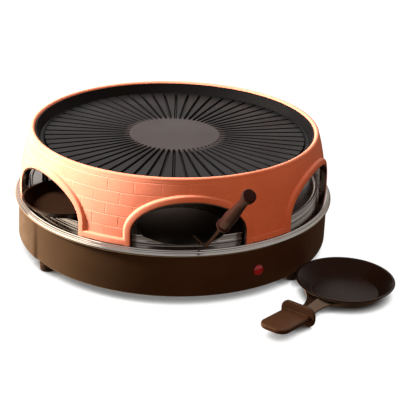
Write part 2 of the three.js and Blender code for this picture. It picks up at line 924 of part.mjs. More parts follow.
function nut() {
  const hole = postStubRadius + seatGap;
  const ring = (radius, sides) => turned(
    [p(0, 0), p(radius, 0), p(radius, nutHeight), p(0, nutHeight)], sides);
  const bore = pillar(hole, -cutOverrun, nutHeight + cutOverrun);
  return cut(solid(ring(nutRadius, 6)), [bore]);
}

// A bush lines a hole in the tray round a heater end. Its own z = 0 is the tray floor.
function heaterBush() {
  const bore = heaterRadius + 2 * seatGap;
  return turned(
    [
      p(bore, bushFlange + seatGap),
      p(bore, -bushNeckLength),
      p(bushNeckRadius, -bushNeckLength),
      p(bushNeckRadius, seatGap),
      p(bushFlangeRadius, seatGap),
      p(bushFlangeRadius, bushFlange + seatGap),
    ],
    smallSides,
  );
}

// A lead follows a smooth line through its points.
function lead(points) {
  return tube(new THREE.CatmullRomCurve3(points, false, "centripetal"), leadRadius, wireSides, wireSteps);
}

// A round dish with a flat floor, a leaning side and a turned rim, standing on z = 0.
function dish(floorRadius, rimRadius, height, wall) {
  const corner = 2 * wall;
  return [
    p(0, 0),
    p(floorRadius - corner, 0),
    p(floorRadius, corner / 2),
    p(rimRadius - wall, height - wall),
    p(rimRadius, height - wall / 2),
    p(rimRadius - wall / 2, height),
    p(rimRadius - 2 * wall, height - wall / 2),
    p(floorRadius - wall / 2, corner / 2 + wall),
    p(floorRadius - corner, wall),
    p(0, wall),
  ];
}

// The spatula's rod lies on the blade and rises out of the arch. Its own -Y points towards the grip.
function rodCurve() {
  const level = bladeThickness + seatGap + rodRadius;
  const tilt = radians(rodTilt);
  const out = bladeRadius + rodOverhang;
  const rise = (along) => new THREE.Vector3(0, -out - along * Math.cos(tilt), level + along * Math.sin(tilt));
  const bend = 2 * rodRadius;
  return new THREE.CatmullRomCurve3(
    [
      new THREE.Vector3(0, rodLap - bladeRadius, level),
      new THREE.Vector3(0, -bladeRadius, level),
      new THREE.Vector3(0, bend - out, level),
      new THREE.Vector3(0, rodRadius - out, level + rodRadius / 4),
      rise(bend / 2),
      rise(bend),
      rise(rodReach / 2),
      rise(rodReach),
      rise(rodReach + rodTang),
    ],
    false,
    "centripetal",
  );
}

// The grip has a collar at its root, a waist, and a round flat knob, bored for the rod.
function spatulaGrip() {
  const bore = rodRadius + seatGap;
  const knobStart = gripLength - gripKnobLength;
  const profile = [
    p(bore, 0),
    p(gripCollarRadius, 0),
    p(gripCollarRadius, gripCollarLength),
    p(gripBodyRadius, 2 * gripCollarLength),
    p(gripBodyRadius, gripLength / 3),
    p(gripNeckRadius, (3 * gripLength) / 4),
    p(gripNeckRadius, knobStart - gripCollarLength),
    p(gripKnobRadius, knobStart),
    p(gripKnobRadius, gripLength - gripCollarLength / 3),
    p(gripKnobRadius - gripCollarLength / 3, gripLength),
    p(0, gripLength),
    p(0, rodTang + seatGap),
    p(bore, rodTang + seatGap),
  ];
  return turned(profile, smallSides);
}

// The tang and the tongue rise together from the end of the shank.
function risen(geometry) {
  const hinge = panRimRadius + shankLength;
  geometry.translate(0, hinge, -tongueHeight);
  geometry.rotateX(-Math.atan(tongueRise / tongueLength));
  return geometry.translate(0, -hinge, tongueHeight);
}

// The shank is a folded sheet. It flares along the dish's rim, narrows in a hollow curve, and its fold
// deepens towards the grip and flattens out into the tang.
function shank() {
  const start = panRimRadius - shankRootReach;
  const end = panRimRadius + shankLength;
  const rimBand = panHeight - panWall;
  const rootLevel = rimBand - seatGap - shankThickness - shankRootRidge;
  const tangLevel = tongueHeight - shankThickness / 2;
  const section = (along, half, level, ridge) => [
    [0, -along, level + ridge],
    [half, -along, level],
    [half, -along, level + shankThickness],
    [0, -along, level + ridge + shankThickness],
    [-half, -along, level + shankThickness],
    [-half, -along, level],
  ];
  const rings = Array.from({ length: shankSteps + 1 }, (_, i) => {
    const share = i / shankSteps;
    const along = THREE.MathUtils.lerp(start, end - shankRun, share);
    const width = THREE.MathUtils.lerp(shankTipWidth, shankRootWidth, (1 - share) ** 3);
    const level = THREE.MathUtils.lerp(rootLevel, tangLevel - shankDrop, share);
    return section(along, width / 2, level, THREE.MathUtils.lerp(shankRootRidge, shankRidge, share));
  });
  rings.push(section(end, shankTipWidth / 2, tangLevel, tangRidge));
  const clearOf = turned(
    [
      p(0, -cutOverrun),
      p(panFloorRadius + passGap, -cutOverrun),
      p(panFloorRadius + passGap, 0),
      p(panRimRadius - panWall + passGap, rimBand),
      p(panRimRadius + passGap, rimBand),
      p(panRimRadius + passGap, panHeight + cutOverrun),
      p(0, panHeight + cutOverrun),
    ],
    dishSides,
  );
  const tang = box(tangWidth, tangLength + tangLap, shankThickness)
    .translate(0, -(end + (tangLength - tangLap) / 2), tongueHeight);
  return cut(solid(loft(rings)), [clearOf]).add(solid(risen(tang)));
}

// A skin through rings of points, closed at both ends.
function loft(rings) {
  const count = rings[0].length;
  const index = [];
  for (let r = 0; r + 1 < rings.length; r += 1) {
    for (let i = 0; i < count; i += 1) {
      const [a, b] = [r * count + i, r * count + ((i + 1) % count)];
      index.push(a, b, a + count, b, b + count, a + count);
    }
  }
  const last = (rings.length - 1) * count;
  for (let i = 1; i + 1 < count; i += 1) {
    index.push(0, i + 1, i);
    index.push(last, last + i, last + i + 1);
  }
  const geometry = new THREE.BufferGeometry();
  geometry.setAttribute("position", new THREE.Float32BufferAttribute(rings.flat(2), 3));
  geometry.setIndex(index);
  return geometry;
}

// The pan's grip is an upright rounded shield with a flat tongue, slotted for the shank's tang.
function panGrip() {
  const face = panRimRadius + shankLength + seatGap;
  const shield = plate(rounded(shieldWidth, shieldHeight, shieldCorner), shieldThickness)
    .rotateX(Math.PI / 2)
    .translate(0, -face, shieldHeight / 2);
  const reach = tongueLength + shieldThickness / 2;
  const tongue = plate(rounded(tongueWidth, reach + tongueCorner, tongueCorner), tongueThickness);
  tongue.translate(0, -(face + shieldThickness / 2 + (reach - tongueCorner) / 2), tongueHeight - tongueThickness / 2);
  risen(tongue);
  const behind = box(shieldWidth, tongueCorner * 2, shieldHeight * 2)
    .translate(0, -(face - tongueCorner + shieldThickness / 2), tongueHeight);
  const slot = box(tangWidth + 2 * seatGap, 2 * (tangLength + seatGap), shankThickness + 2 * seatGap)
    .translate(0, -face, tongueHeight);
  const body = cut(solid(tongue), [behind]).add(solid(shield));
  return cut(body, [risen(slot)]);
}

// The base and what it carries
piece("base_housing", baseShell(), brownPlastic);
piece("bottom_cover", bottomCover(), plainSteel);
for (let i = 0; i < screwCount; i += 1) {
  placeAt(piece(`cover_screw_${i + 1}`, coverScrew(), plainSteel), (i * 360) / screwCount, screwRing, 0);
}
footTurns().forEach((turn, i) => {
  placeAt(piece(`foot_${i + 1}`, foot(), blackRubber), turn, footRing, 0);
});
faceOut(piece("indicator_lens", lens(), redLens), lampTurn, baseRadius, lampHeight);
faceOut(piece("lamp_holder", lampHolder(), darkPlastic), lampTurn, baseRadius, lampHeight);
faceOut(piece("cord_gland", cordGland(), blackRubber), 180, baseRadius, glandHeight);
const block = piece("terminal_block", terminalBlock(), ceramic);
block.position.set(0, terminalPlace, coverThickness + seatGap);
const cutoutMesh = piece("thermal_cutout", thermalCutout(), plainSteel);
cutoutMesh.position.set(0, -cutoutPlace, wellFloor - trayThickness - seatGap - cutoutHeight);

// The tray, the baking plate and the heaters
piece("steel_tray", steelTray(), polishedSteel);
piece("baking_plate", bakingPlate(), polishedSteel);
piece("lower_heater", lowerHeater(), heaterSheath);
for (let i = 0; i < saddleCount; i += 1) {
  const turn = (i * 360) / saddleCount;
  placeAt(piece(`heater_saddle_${i + 1}`, saddle(), ceramic), turn, lowerLoopRadius, wellFloor + seatGap);
}
piece("upper_heater", upperHeater(), heaterSheath).rotation.z = radians(upperLegTurn);
piece("heater_carrier", heaterCarrier(), plainSteel).position.z = carrierLevel;
postTurns().forEach((turn, i) => {
  const number = i + 1;
  placeAt(piece(`support_post_${number}`, post(), plainSteel), turn, postRing, 0);
  const under = wellFloor - trayThickness - seatGap - nutHeight;
  placeAt(piece(`post_nut_${number}`, nut(), plainSteel), turn, postRing, under);
  const over = carrierLevel + carrierThickness + seatGap;
  placeAt(piece(`carrier_nut_${number}`, nut(), plainSteel), turn, postRing, over);
  placeAt(piece(`heater_clip_${number}`, heaterClip(), plainSteel), turn, upperLoopRadius,
    carrierLevel + carrierThickness);
});
[...pinPoints(), ...legPoints()].forEach((point, i) => {
  piece(`heater_bush_${i + 1}`, heaterBush(), ceramic).position.set(point.x, point.y, wellFloor);
});

// Leads from the terminal block to the lamp, to a lower heater end and to an upper heater leg
const leadLevel = coverThickness + seatGap + 4 * leadRadius;
const leadStart = 4 * leadRadius;
const blockFront = terminalPlace - terminalDepth / 2 - 2 * seatGap;
const blockMiddle = coverThickness + seatGap + terminalHeight / 2;
const heaterEnd = wellFloor - heaterTail - seatGap;
const holderBack = baseRadius - baseWall - lampHolderLength - 4 * seatGap;
piece(
  "lead_lamp",
  lead([
    new THREE.Vector3(terminalLength / 3, blockFront, blockMiddle),
    new THREE.Vector3(terminalLength / 3, blockFront - leadStart, blockMiddle),
    new THREE.Vector3(terminalLength, terminalPlace / 2, leadLevel),
    new THREE.Vector3(2 * terminalLength, 0, leadLevel),
    pointAt(lampTurn, holderBack - lampHolderLength, lampHeight),
    pointAt(lampTurn, holderBack, lampHeight),
  ]),
  darkPlastic,
);
const [, leftPin] = pinPoints();
piece(
  "lead_lower_heater",
  lead([
    new THREE.Vector3(0, blockFront, blockMiddle),
    new THREE.Vector3(0, blockFront - leadStart, blockMiddle),
    new THREE.Vector3(leftPin.x, leftPin.y, heaterEnd - terminalHeight),
    new THREE.Vector3(leftPin.x, leftPin.y, heaterEnd),
  ]),
  darkPlastic,
);
const [nearLeg] = legPoints();
const blockSide = -terminalLength / 2 - 2 * seatGap;
piece(
  "lead_upper_heater",
  lead([
    new THREE.Vector3(blockSide, terminalPlace, blockMiddle),
    new THREE.Vector3(blockSide - leadStart, terminalPlace, blockMiddle),
    new THREE.Vector3(nearLeg.x, nearLeg.y, heaterEnd - terminalHeight),
    new THREE.Vector3(nearLeg.x, nearLeg.y, heaterEnd),
  ]),
  darkPlastic,
);

// The mantle with its liner, and the grill plate in its rim
piece("mantle", mantleShell(), terracotta).position.z = mantleSeat;
piece("mantle_liner", mantleLiner(), darkEnamel).position.z = mantleSeat;
piece("grill_plate", grillPlate(), coatedAluminium).position.z = mantleSeat + ledgeTop + seatGap;

// The dish in the left arch
const archDish = turned(dish(dishFloorRadius, dishRimRadius, dishHeight, dishWall), dishSides);
placeAt(piece("arch_dish", archDish, coatedAluminium), dishTurn, dishPlace, bakingTop + seatGap);

// The spatula in the front arch
const spatula = new THREE.Group();
placeAt(spatula, bladeTurn, bladePlace, bakingTop + seatGap);
spatula.rotation.z = radians(spatulaTurn);
grill.add(spatula);
piece("spatula_blade", plate(circle(bladeRadius), bladeThickness, dishSides), plainSteel, spatula);
piece("spatula_rod", tube(rodCurve(), rodRadius, tubeSides, wireSteps), plainSteel, spatula);
const grip = piece("spatula_grip", spatulaGrip(), brownPlastic, spatula);
const gripTilt = radians(rodTilt);
grip.position.set(
  0,
  -bladeRadius - rodOverhang - rodReach * Math.cos(gripTilt),
  bladeThickness + seatGap + rodRadius + rodReach * Math.sin(gripTilt),
);
grip.rotation.x = Math.PI / 2 - gripTilt;

// The pan beside the grill
const pan = new THREE.Group();
placeAt(pan, panTurn, panPlace, tableLevel);
pan.rotation.z = radians(panHandleTurn);
grill.add(pan);
piece("pan_dish", turned(dish(panFloorRadius, panRimRadius, panHeight, panWall), dishSides), coatedAluminium, pan);
piece("pan_shank", shank(), plainSteel, pan);
piece("pan_grip", panGrip(), brownPlastic, pan);

export default grill;
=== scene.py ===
"""A round table grill under an arched terracotta mantle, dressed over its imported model.

Sizes are in millimetres until a skin is laid on the frame, which is in metres. The grill's axis is
x = y = 0, its front faces -Y, and turns are measured in degrees from the front towards +X.
"""

import logging
import math
from dataclasses import dataclass
from enum import Enum
from typing import Iterable, Sequence

import bmesh
import bpy
import numpy as np
from mathutils import Matrix, Vector, noise


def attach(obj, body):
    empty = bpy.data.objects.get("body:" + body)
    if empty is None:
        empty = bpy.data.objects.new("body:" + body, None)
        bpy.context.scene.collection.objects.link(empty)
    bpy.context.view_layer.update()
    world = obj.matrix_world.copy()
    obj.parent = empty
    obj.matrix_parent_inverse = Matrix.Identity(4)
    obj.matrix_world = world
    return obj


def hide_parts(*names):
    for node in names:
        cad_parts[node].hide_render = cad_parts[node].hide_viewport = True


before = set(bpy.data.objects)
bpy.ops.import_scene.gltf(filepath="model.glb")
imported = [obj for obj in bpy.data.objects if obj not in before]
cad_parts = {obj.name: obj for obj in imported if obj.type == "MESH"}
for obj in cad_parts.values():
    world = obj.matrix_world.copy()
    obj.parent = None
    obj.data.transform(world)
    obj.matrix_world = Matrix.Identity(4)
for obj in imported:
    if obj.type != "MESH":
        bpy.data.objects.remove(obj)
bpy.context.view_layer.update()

log = logging.getLogger("grill")

MM = 0.001
TINY = 1e-6
SEAT_GAP = 0.3
PASS_GAP = 0.8
OVERCUT = 4.0
TABLE_LEVEL = -11.0
WELL_FLOOR = 47.0
BAKING_TOP = 76.0
BASE_RADIUS = 209.3
RANGE_SOCKETS = ("From Min", "From Max", "To Min", "To Max")

Colour = tuple[float, float, float]
Point2 = tuple[float, float]
Point3 = tuple[float, float, float]
Socket = bpy.types.NodeSocket
Piece = bpy.types.Object

WHITE: Colour = (255, 255, 255)
UPRIGHT = Matrix.Rotation(math.pi / 2, 4, "Z") @ Matrix.Rotation(math.pi / 2, 4, "X")


class Body(Enum):
    """The parts of the grill that move on their own."""

    BASE = "base"
    MANTLE = "mantle"
    GRILL_PLATE = "grill_plate"
    ARCH_DISH = "arch_dish"
    SPATULA = "spatula"
    TABLE_PAN = "table_pan"


class Slot(Enum):
    """The record's material slots."""

    TERRACOTTA = "terracotta"
    BROWN_PLASTIC = "brown_plastic"
    DARK_PLASTIC = "dark_plastic"
    POLISHED_STEEL = "polished_steel"
    PLAIN_STEEL = "plain_steel"
    COATED_ALUMINIUM = "coated_aluminium"
    DARK_ENAMEL = "dark_enamel"
    HEATER_SHEATH = "heater_sheath"
    RED_LENS = "red_lens"
    WHITE_CERAMIC = "white_ceramic"
    BLACK_RUBBER = "black_rubber"


class Grain(Enum):
    """The way a metal's marks run."""

    ROUND = "round"
    NONE = "none"


class Work(Enum):
    """What a tool does to a piece."""

    CUT = "DIFFERENCE"
    JOIN = "UNION"


def linear(colour: Colour) -> tuple[float, float, float, float]:
    """Turns a screen colour of 0 to 255 into the shader's linear colour.

    Args:
        colour: red, green and blue as seen on a screen.

    Returns:
        The linear colour with full cover.
    """
    shares = [channel / 255 for channel in colour]
    values = [s / 12.92 if s <= 0.04045 else ((s + 0.055) / 1.055) ** 2.4 for s in shares]
    return (values[0], values[1], values[2], 1.0)


@dataclass(frozen=True)
class Layer:
    """One layer of a finish's pattern.

    Its scale is in features to the metre, and detail and strength are those of its finer layers. It
    starts to show where its noise passes low, is full at high, and adds its share.
    """

    scale: float
    detail: float
    strength: float = 0.5
    low: float = 0.35
    high: float = 0.65
    share: float = 1.0


class Nodes:
    """Builds the nodes of one tree."""

    def __init__(self, tree: bpy.types.NodeTree) -> None:
        """Starts on a tree."""
        self.tree = tree

    def add(self, kind: str, **settings: object) -> bpy.types.Node:
        """Adds a node.

        Args:
            kind: the node's type.
            settings: the node's own properties.

        Returns:
            The new node.
        """
        node = self.tree.nodes.new(kind)
        for key, value in settings.items():
            setattr(node, key, value)
        return node

    def join(self, source: Socket, target: Socket) -> None:
        """Links two sockets."""
        self.tree.links.new(source, target)

    def give(self, value: Socket | float | tuple[float, ...], target: Socket) -> None:
        """Links a socket to a target, or sets the target to a number or a colour.

        Args:
            value: a socket, a number or a linear colour.
            target: the socket that gets it.
        """
        if isinstance(value, (float, tuple)):
            target.default_value = value
        else:
            self.join(value, target)

    def between(self, value: Socket, source: Point2, target: Point2, smooth: bool = False) -> Socket:
        """Maps a value from one range to another, and no further.

        Args:
            value: the value.
            source: the range that it comes from.
            target: the range that it goes to.
            smooth: whether it eases in and out.

        Returns:
            The mapped value.
        """
        kind = "SMOOTHSTEP" if smooth else "LINEAR"
        node = self.add("ShaderNodeMapRange", clamp=True, interpolation_type=kind)
        for name, number in zip(RANGE_SOCKETS, (*source, *target)):
            node.inputs[name].default_value = number
        self.join(value, node.inputs["Value"])
        return node.outputs["Result"]

    def blend(self, share: Socket, first: Socket | Colour, second: Socket | Colour) -> Socket:
        """Mixes two colours.

        Args:
            share: 0 for the first and 1 for the second.
            first: a screen colour or a socket.
            second: a screen colour or a socket.

        Returns:
            The mixed colour.
        """
        node = self.add("ShaderNodeMix", data_type="RGBA")
        self.join(share, node.inputs[0])
        for socket, colour in ((node.inputs[6], first), (node.inputs[7], second)):
            self.give(linear(colour) if isinstance(colour, tuple) else colour, socket)
        return node.outputs[2]

    def weigh(self, share: Socket, first: Socket | float, second: Socket | float) -> Socket:
        """Mixes two values.

        Args:
            share: 0 for the first and 1 for the second.
            first: a number or a socket.
            second: a number or a socket.

        Returns:
            The mixed value.
        """
        node = self.add("ShaderNodeMix")
        self.join(share, node.inputs[0])
        self.give(first, node.inputs[2])
        self.give(second, node.inputs[3])
        return node.outputs[0]

    def product(self, first: Socket, second: Socket | float) -> Socket:
        """Multiplies two values.

        Args:
            first: a socket.
            second: a number or a socket.

        Returns:
            The product.
        """
        node = self.add("ShaderNodeMath", operation="MULTIPLY")
        self.join(first, node.inputs[0])
        self.give(second, node.inputs[1])
        return node.outputs["Value"]

    def total(self, *values: Socket) -> Socket:
        """Adds values.

        Args:
            values: the values' sockets.

        Returns:
            Their sum.
        """
        whole = values[0]
        for value in values[1:]:
            node = self.add("ShaderNodeMath", operation="ADD")
            self.join(whole, node.inputs[0])
            self.join(value, node.inputs[1])
            whole = node.outputs["Value"]
        return whole


class Recipe(Nodes):
    """Builds the nodes of one material."""

    def __init__(self, name: str) -> None:
        """Starts an empty material with one shader.

        Args:
            name: the material's name.
        """
        self.material = bpy.data.materials.new(name)
        self.material.use_nodes = True
        super().__init__(self.material.node_tree)
        self.shader = self.tree.nodes["Principled BSDF"]
        self.place = self.add("ShaderNodeTexCoord").outputs["Object"]

    def distance(self) -> Socket:
        """Gives the distance from the axis, in metres.

        Returns:
            The distance's socket.
        """
        flat = self.add("ShaderNodeMapping")
        flat.inputs["Scale"].default_value = (1.0, 1.0, 0.0)
        self.join(self.place, flat.inputs["Vector"])
        length = self.add("ShaderNodeVectorMath", operation="LENGTH")
        self.join(flat.outputs["Vector"], length.inputs[0])
        return length.outputs["Value"]

    def rings(self, scale: float) -> Socket:
        """Gives coordinates that change only with the distance from the axis and with the height.

        Args:
            scale: how far they go in a metre.

        Returns:
            The coordinates.
        """
        height = self.add("ShaderNodeSeparateXYZ")
        self.join(self.place, height.inputs["Vector"])
        pack = self.add("ShaderNodeCombineXYZ")
        self.join(self.product(self.distance(), scale), pack.inputs["X"])
        self.join(self.product(height.outputs["Z"], scale), pack.inputs["Y"])
        return pack.outputs["Vector"]

    def noise(self, layer: Layer, at: Socket | None = None) -> Socket:
        """Adds a layer's noise.

        Args:
            layer: the layer.
            at: the coordinates, or the object's own.

        Returns:
            The noise, about 0.5 on average.
        """
        node = self.add("ShaderNodeTexNoise")
        node.inputs["Scale"].default_value = layer.scale
        node.inputs["Detail"].default_value = layer.detail
        node.inputs["Roughness"].default_value = layer.strength
        self.join(at or self.place, node.inputs["Vector"])
        return node.outputs["Fac"]

    def spread(self, value: Socket, layer: Layer, target: Point2) -> Socket:
        """Spreads a layer's noise over a range."""
        return self.between(value, (layer.low, layer.high), target)

    def shown(self, value: Socket, layer: Layer) -> Socket:
        """Gives what a layer's noise adds to a pattern."""
        return self.spread(value, layer, (0.0, layer.share))

    def attribute(self, name: str) -> Socket:
        """Gives a value that the mesh carries at each corner."""
        return self.add("ShaderNodeAttribute", attribute_name=name).outputs["Fac"]

    def colour(self, value: Socket) -> None:
        """Sets the surface colour."""
        self.join(value, self.shader.inputs["Base Color"])

    def rough(self, value: Socket) -> None:
        """Sets the roughness."""
        self.join(value, self.shader.inputs["Roughness"])

    def relief(self, height: Socket, depth: float) -> None:
        """Adds a fine relief.

        Args:
            height: a value of 0 to 1.
            depth: the relief's depth in millimetres.
        """
        node = self.add("ShaderNodeBump")
        node.inputs["Distance"].default_value = depth * MM
        self.join(height, node.inputs["Height"])
        self.join(node.outputs["Normal"], self.shader.inputs["Normal"])

    def shine(self, tint: Colour) -> None:
        """Tints the surface's highlights."""
        self.shader.inputs["Specular Tint"].default_value = linear(tint)

    def fixed(self, **values: float) -> None:
        """Sets numbers that are the same all over the surface, by the shader's socket names."""
        for name, value in values.items():
            self.shader.inputs[name.replace("_", " ")].default_value = value


@dataclass(frozen=True)
class Finish:
    """A surface finish, made into a material once."""

    name: str
    slot: Slot

    def material(self) -> bpy.types.Material:
        """Gives the finish's material, made on first use.

        Returns:
            The material.
        """
        if self.name not in bpy.data.materials:
            self.mix(Recipe(self.name))
        return bpy.data.materials[self.name]

    def mix(self, recipe: Recipe) -> None:
        """Mixes the finish into an empty material."""


@dataclass(frozen=True)
class Terracotta(Finish):
    """Fired clay with a thin glaze, mottled, and paler where its joints are: partly the mortar's own tone
    and partly a painted highlight of the joints' lit walls.
    """

    clay: Colour = (182, 109, 86)
    pale: Colour = (194, 123, 100)
    # partly painted highlight: the joints' paler colour also stands in for their walls lit by raking light
    joint: Colour = (206, 138, 116)
    glint: Colour = (255, 236, 204)
    broad: Layer = Layer(26.0, 4.0, 0.55, share=0.42)
    fine: Layer = Layer(420.0, 3.0, 0.6, low=0.3, high=0.7, share=0.3)
    speckle: Layer = Layer(2100.0, 2.0, 0.7, low=0.5, high=0.72, share=0.28)
    patch: Layer = Layer(180.0, 3.0, low=0.3, high=0.7)
    roughness: Point2 = (0.5, 0.6)
    grain_depth: float = 0.06
    glaze: float = 1.5

    def mix(self, recipe: Recipe) -> None:
        """Mixes the clay.

        Args:
            recipe: an empty material.
        """
        broad = recipe.noise(self.broad)
        fine = recipe.noise(self.fine)
        speckle = recipe.noise(self.speckle)
        tone = recipe.total(
            recipe.shown(broad, self.broad),
            recipe.shown(fine, self.fine),
            recipe.shown(speckle, self.speckle),
        )
        body = recipe.blend(tone, self.clay, self.pale)
        # partly painted highlight: the joints are painted paler, as their lit walls look, by the mesh's
        # joint value
        recipe.colour(recipe.blend(recipe.attribute("joint"), body, self.joint))
        recipe.rough(recipe.spread(recipe.noise(self.patch), self.patch, self.roughness))
        recipe.relief(recipe.total(fine, speckle), self.grain_depth)
        recipe.shine(self.glint)
        recipe.fixed(IOR=self.glaze)


@dataclass(frozen=True)
class Moulded(Finish):
    """Moulded plastic, rubber or ceramic with a fine eroded grain."""

    dark: Colour = (38, 25, 14)
    light: Colour = (48, 34, 21)
    roughness: Point2 = (0.32, 0.42)
    grain_depth: float = 0.02
    glint: Colour = WHITE
    cloud: Layer = Layer(9.0, 3.0, share=0.6)
    grain: Layer = Layer(2600.0, 2.0, 0.6, low=0.4, high=0.7, share=0.4)
    wear: Layer = Layer(70.0, 5.0, 0.65)

    def mix(self, recipe: Recipe) -> None:
        """Mixes the plastic.

        Args:
            recipe: an empty material.
        """
        cloud = recipe.noise(self.cloud)
        grain = recipe.noise(self.grain)
        wear = recipe.noise(self.wear)
        tone = recipe.total(recipe.shown(cloud, self.cloud), recipe.shown(grain, self.grain))
        recipe.colour(recipe.blend(tone, self.dark, self.light))
        recipe.rough(recipe.spread(wear, self.wear, self.roughness))
        recipe.relief(grain, self.grain_depth)
        recipe.shine(self.glint)


@dataclass(frozen=True)
class Metal(Finish):
    """Sheet or bar metal with fine marks and smudges."""

    dark: Colour
    light: Colour
    roughness: Point2
    grain: Grain = Grain.ROUND
    mark_depth: float = 0.002
    ring_scale: float = 700.0
    round_marks: Layer = Layer(1.0, 2.0)
    plain_marks: Layer = Layer(900.0, 3.0, 0.6)
    smudge: Layer = Layer(38.0, 4.0, 0.6)
    marks_in_tone: float = 0.5
    marks_in_rough: float = 0.35

    def mix(self, recipe: Recipe) -> None:
        """Mixes the metal.

        Args:
            recipe: an empty material.
        """
        if self.grain is Grain.ROUND:
            marks = recipe.noise(self.round_marks, recipe.rings(self.ring_scale))
        else:
            marks = recipe.noise(self.plain_marks)
        smudge = recipe.noise(self.smudge)
        tone, rough = (
            recipe.total(recipe.product(marks, share), recipe.product(smudge, 1.0 - share))
            for share in (self.marks_in_tone, self.marks_in_rough)
        )
        recipe.colour(recipe.blend(tone, self.dark, self.light))
        recipe.rough(recipe.spread(rough, self.smudge, self.roughness))
        if self.mark_depth:
            recipe.relief(marks, self.mark_depth)
        recipe.fixed(Metallic=1.0)


@dataclass(frozen=True)
class NonStick(Finish):
    """Cast aluminium under a speckled non-stick coat, painted paler in the middle as a highlight of its
    sheen.
    """

    dark: Colour = (8, 8, 9)
    light: Colour = (22, 20, 21)
    # painted highlight: the paler colour of the plate's middle stands in for the sheen on its smooth centre
    centre_sheen: Colour = (42, 38, 39)
    sheen_edge: float = 0.066
    fade_span: float = 0.004
    roughness: Point2 = (0.3, 0.42)
    speckle: Layer = Layer(1500.0, 2.0, 0.75, low=0.56, high=0.68, share=0.5)
    cast: Layer = Layer(320.0, 4.0, 0.6, share=0.25)
    cloud: Layer = Layer(14.0, 3.0, share=0.25)
    cast_in_relief: float = 0.6
    grain_depth: float = 0.05
    metal: float = 0.25
    gloss: float = 1.2

    def mix(self, recipe: Recipe) -> None:
        """Mixes the coat.

        Args:
            recipe: an empty material.
        """
        speckle = recipe.noise(self.speckle)
        cast = recipe.noise(self.cast)
        cloud = recipe.noise(self.cloud)
        tone = recipe.total(
            recipe.shown(speckle, self.speckle),
            recipe.shown(cast, self.cast),
            recipe.shown(cloud, self.cloud),
        )
        body = recipe.blend(tone, self.dark, self.light)
        # painted highlight: the plate's middle is painted in a paler colour, standing in for the sheen on
        # its smooth centre
        edge = (self.sheen_edge - self.fade_span, self.sheen_edge + self.fade_span)
        middle = recipe.between(recipe.distance(), edge, (1.0, 0.0))
        recipe.colour(recipe.blend(middle, body, self.centre_sheen))
        recipe.rough(recipe.spread(cloud, self.cloud, self.roughness))
        of_cast = self.cast_in_relief
        grain = recipe.total(recipe.product(cast, of_cast), recipe.product(speckle, 1.0 - of_cast))
        recipe.relief(grain, self.grain_depth)
        recipe.fixed(Metallic=self.metal, IOR=self.gloss)


@dataclass(frozen=True)
class Lens(Finish):
    """Clear-coated red plastic with faint streaks."""

    deep: Colour = (118, 4, 24)
    bright: Colour = (150, 12, 38)
    streak: Layer = Layer(220.0, 2.0)
    streak_rough: Point2 = (0.3, 0.7)
    roughness: Point2 = (0.12, 0.2)
    coat: float = 0.5
    coat_roughness: float = 0.06

    def mix(self, recipe: Recipe) -> None:
        """Mixes the lens.

        Args:
            recipe: an empty material.
        """
        streak = recipe.noise(self.streak)
        recipe.colour(recipe.blend(recipe.shown(streak, self.streak), self.deep, self.bright))
        recipe.rough(recipe.between(streak, self.streak_rough, self.roughness))
        recipe.fixed(Coat_Weight=self.coat, Coat_Roughness=self.coat_roughness)


TERRACOTTA = Terracotta("terracotta_glaze", Slot.TERRACOTTA)
BASE_PLASTIC = Moulded("base_plastic", Slot.BROWN_PLASTIC, glint=(255, 232, 206))
GRIP_PLASTIC = Moulded(
    "grip_plastic", Slot.BROWN_PLASTIC,
    dark=(30, 17, 9), light=(42, 25, 14), roughness=(0.3, 0.4), grain_depth=0.03, glint=(255, 214, 180),
)
HANDLE_PLASTIC = Moulded(
    "handle_plastic", Slot.BROWN_PLASTIC,
    dark=(22, 9, 7), light=(34, 16, 13), roughness=(0.3, 0.34), grain_depth=0.01, glint=(150, 104, 100),
)
DARK_PLASTIC = Moulded(
    "lead_plastic", Slot.DARK_PLASTIC, dark=(20, 16, 13), light=(32, 26, 21), roughness=(0.4, 0.55)
)
RUBBER = Moulded(
    "foot_rubber", Slot.BLACK_RUBBER,
    dark=(28, 15, 7), light=(40, 24, 12), roughness=(0.5, 0.66), grain_depth=0.05,
)
CERAMIC = Moulded(
    "ceramic_body", Slot.WHITE_CERAMIC,
    dark=(205, 198, 184), light=(232, 227, 215), roughness=(0.4, 0.6), grain_depth=0.03,
)
ENAMEL = Metal(
    "dark_enamel_coat", Slot.DARK_ENAMEL,
    dark=(112, 92, 84), light=(144, 122, 112), roughness=(0.16, 0.24), grain=Grain.NONE, mark_depth=0.0,
)
TRAY_STEEL = Metal(
    "tray_steel", Slot.POLISHED_STEEL,
    dark=(188, 182, 176), light=(206, 201, 196), roughness=(0.1, 0.13), mark_depth=0.0,
)
BAKING_STEEL = Metal(
    "baking_steel", Slot.POLISHED_STEEL,
    dark=(168, 162, 158), light=(190, 184, 181), roughness=(0.2, 0.25), mark_depth=0.0,
)
ROD_STEEL = Metal(
    "rod_steel", Slot.PLAIN_STEEL,
    dark=(64, 46, 38), light=(96, 72, 60), roughness=(0.3, 0.45), grain=Grain.NONE,
)
BAR_STEEL = Metal(
    "bar_steel", Slot.PLAIN_STEEL,
    dark=(96, 88, 82), light=(140, 133, 126), roughness=(0.3, 0.45), grain=Grain.NONE,
)
SHANK_STEEL = Metal(
    "shank_steel", Slot.PLAIN_STEEL,
    dark=(120, 96, 80), light=(158, 132, 114), roughness=(0.36, 0.4), grain=Grain.NONE,
)
SHEATH = Metal(
    "heater_sheath_metal", Slot.HEATER_SHEATH,
    dark=(58, 52, 48), light=(104, 97, 90), roughness=(0.35, 0.55), grain=Grain.NONE, mark_depth=0.01,
)
PLATE_COAT = NonStick("plate_coat", Slot.COATED_ALUMINIUM)
DISH_COAT = NonStick(
    "dish_coat", Slot.COATED_ALUMINIUM, dark=(26, 15, 9), light=(42, 26, 17), roughness=(0.26, 0.38)
)
RED_LENS = Lens("red_lens_plastic", Slot.RED_LENS)


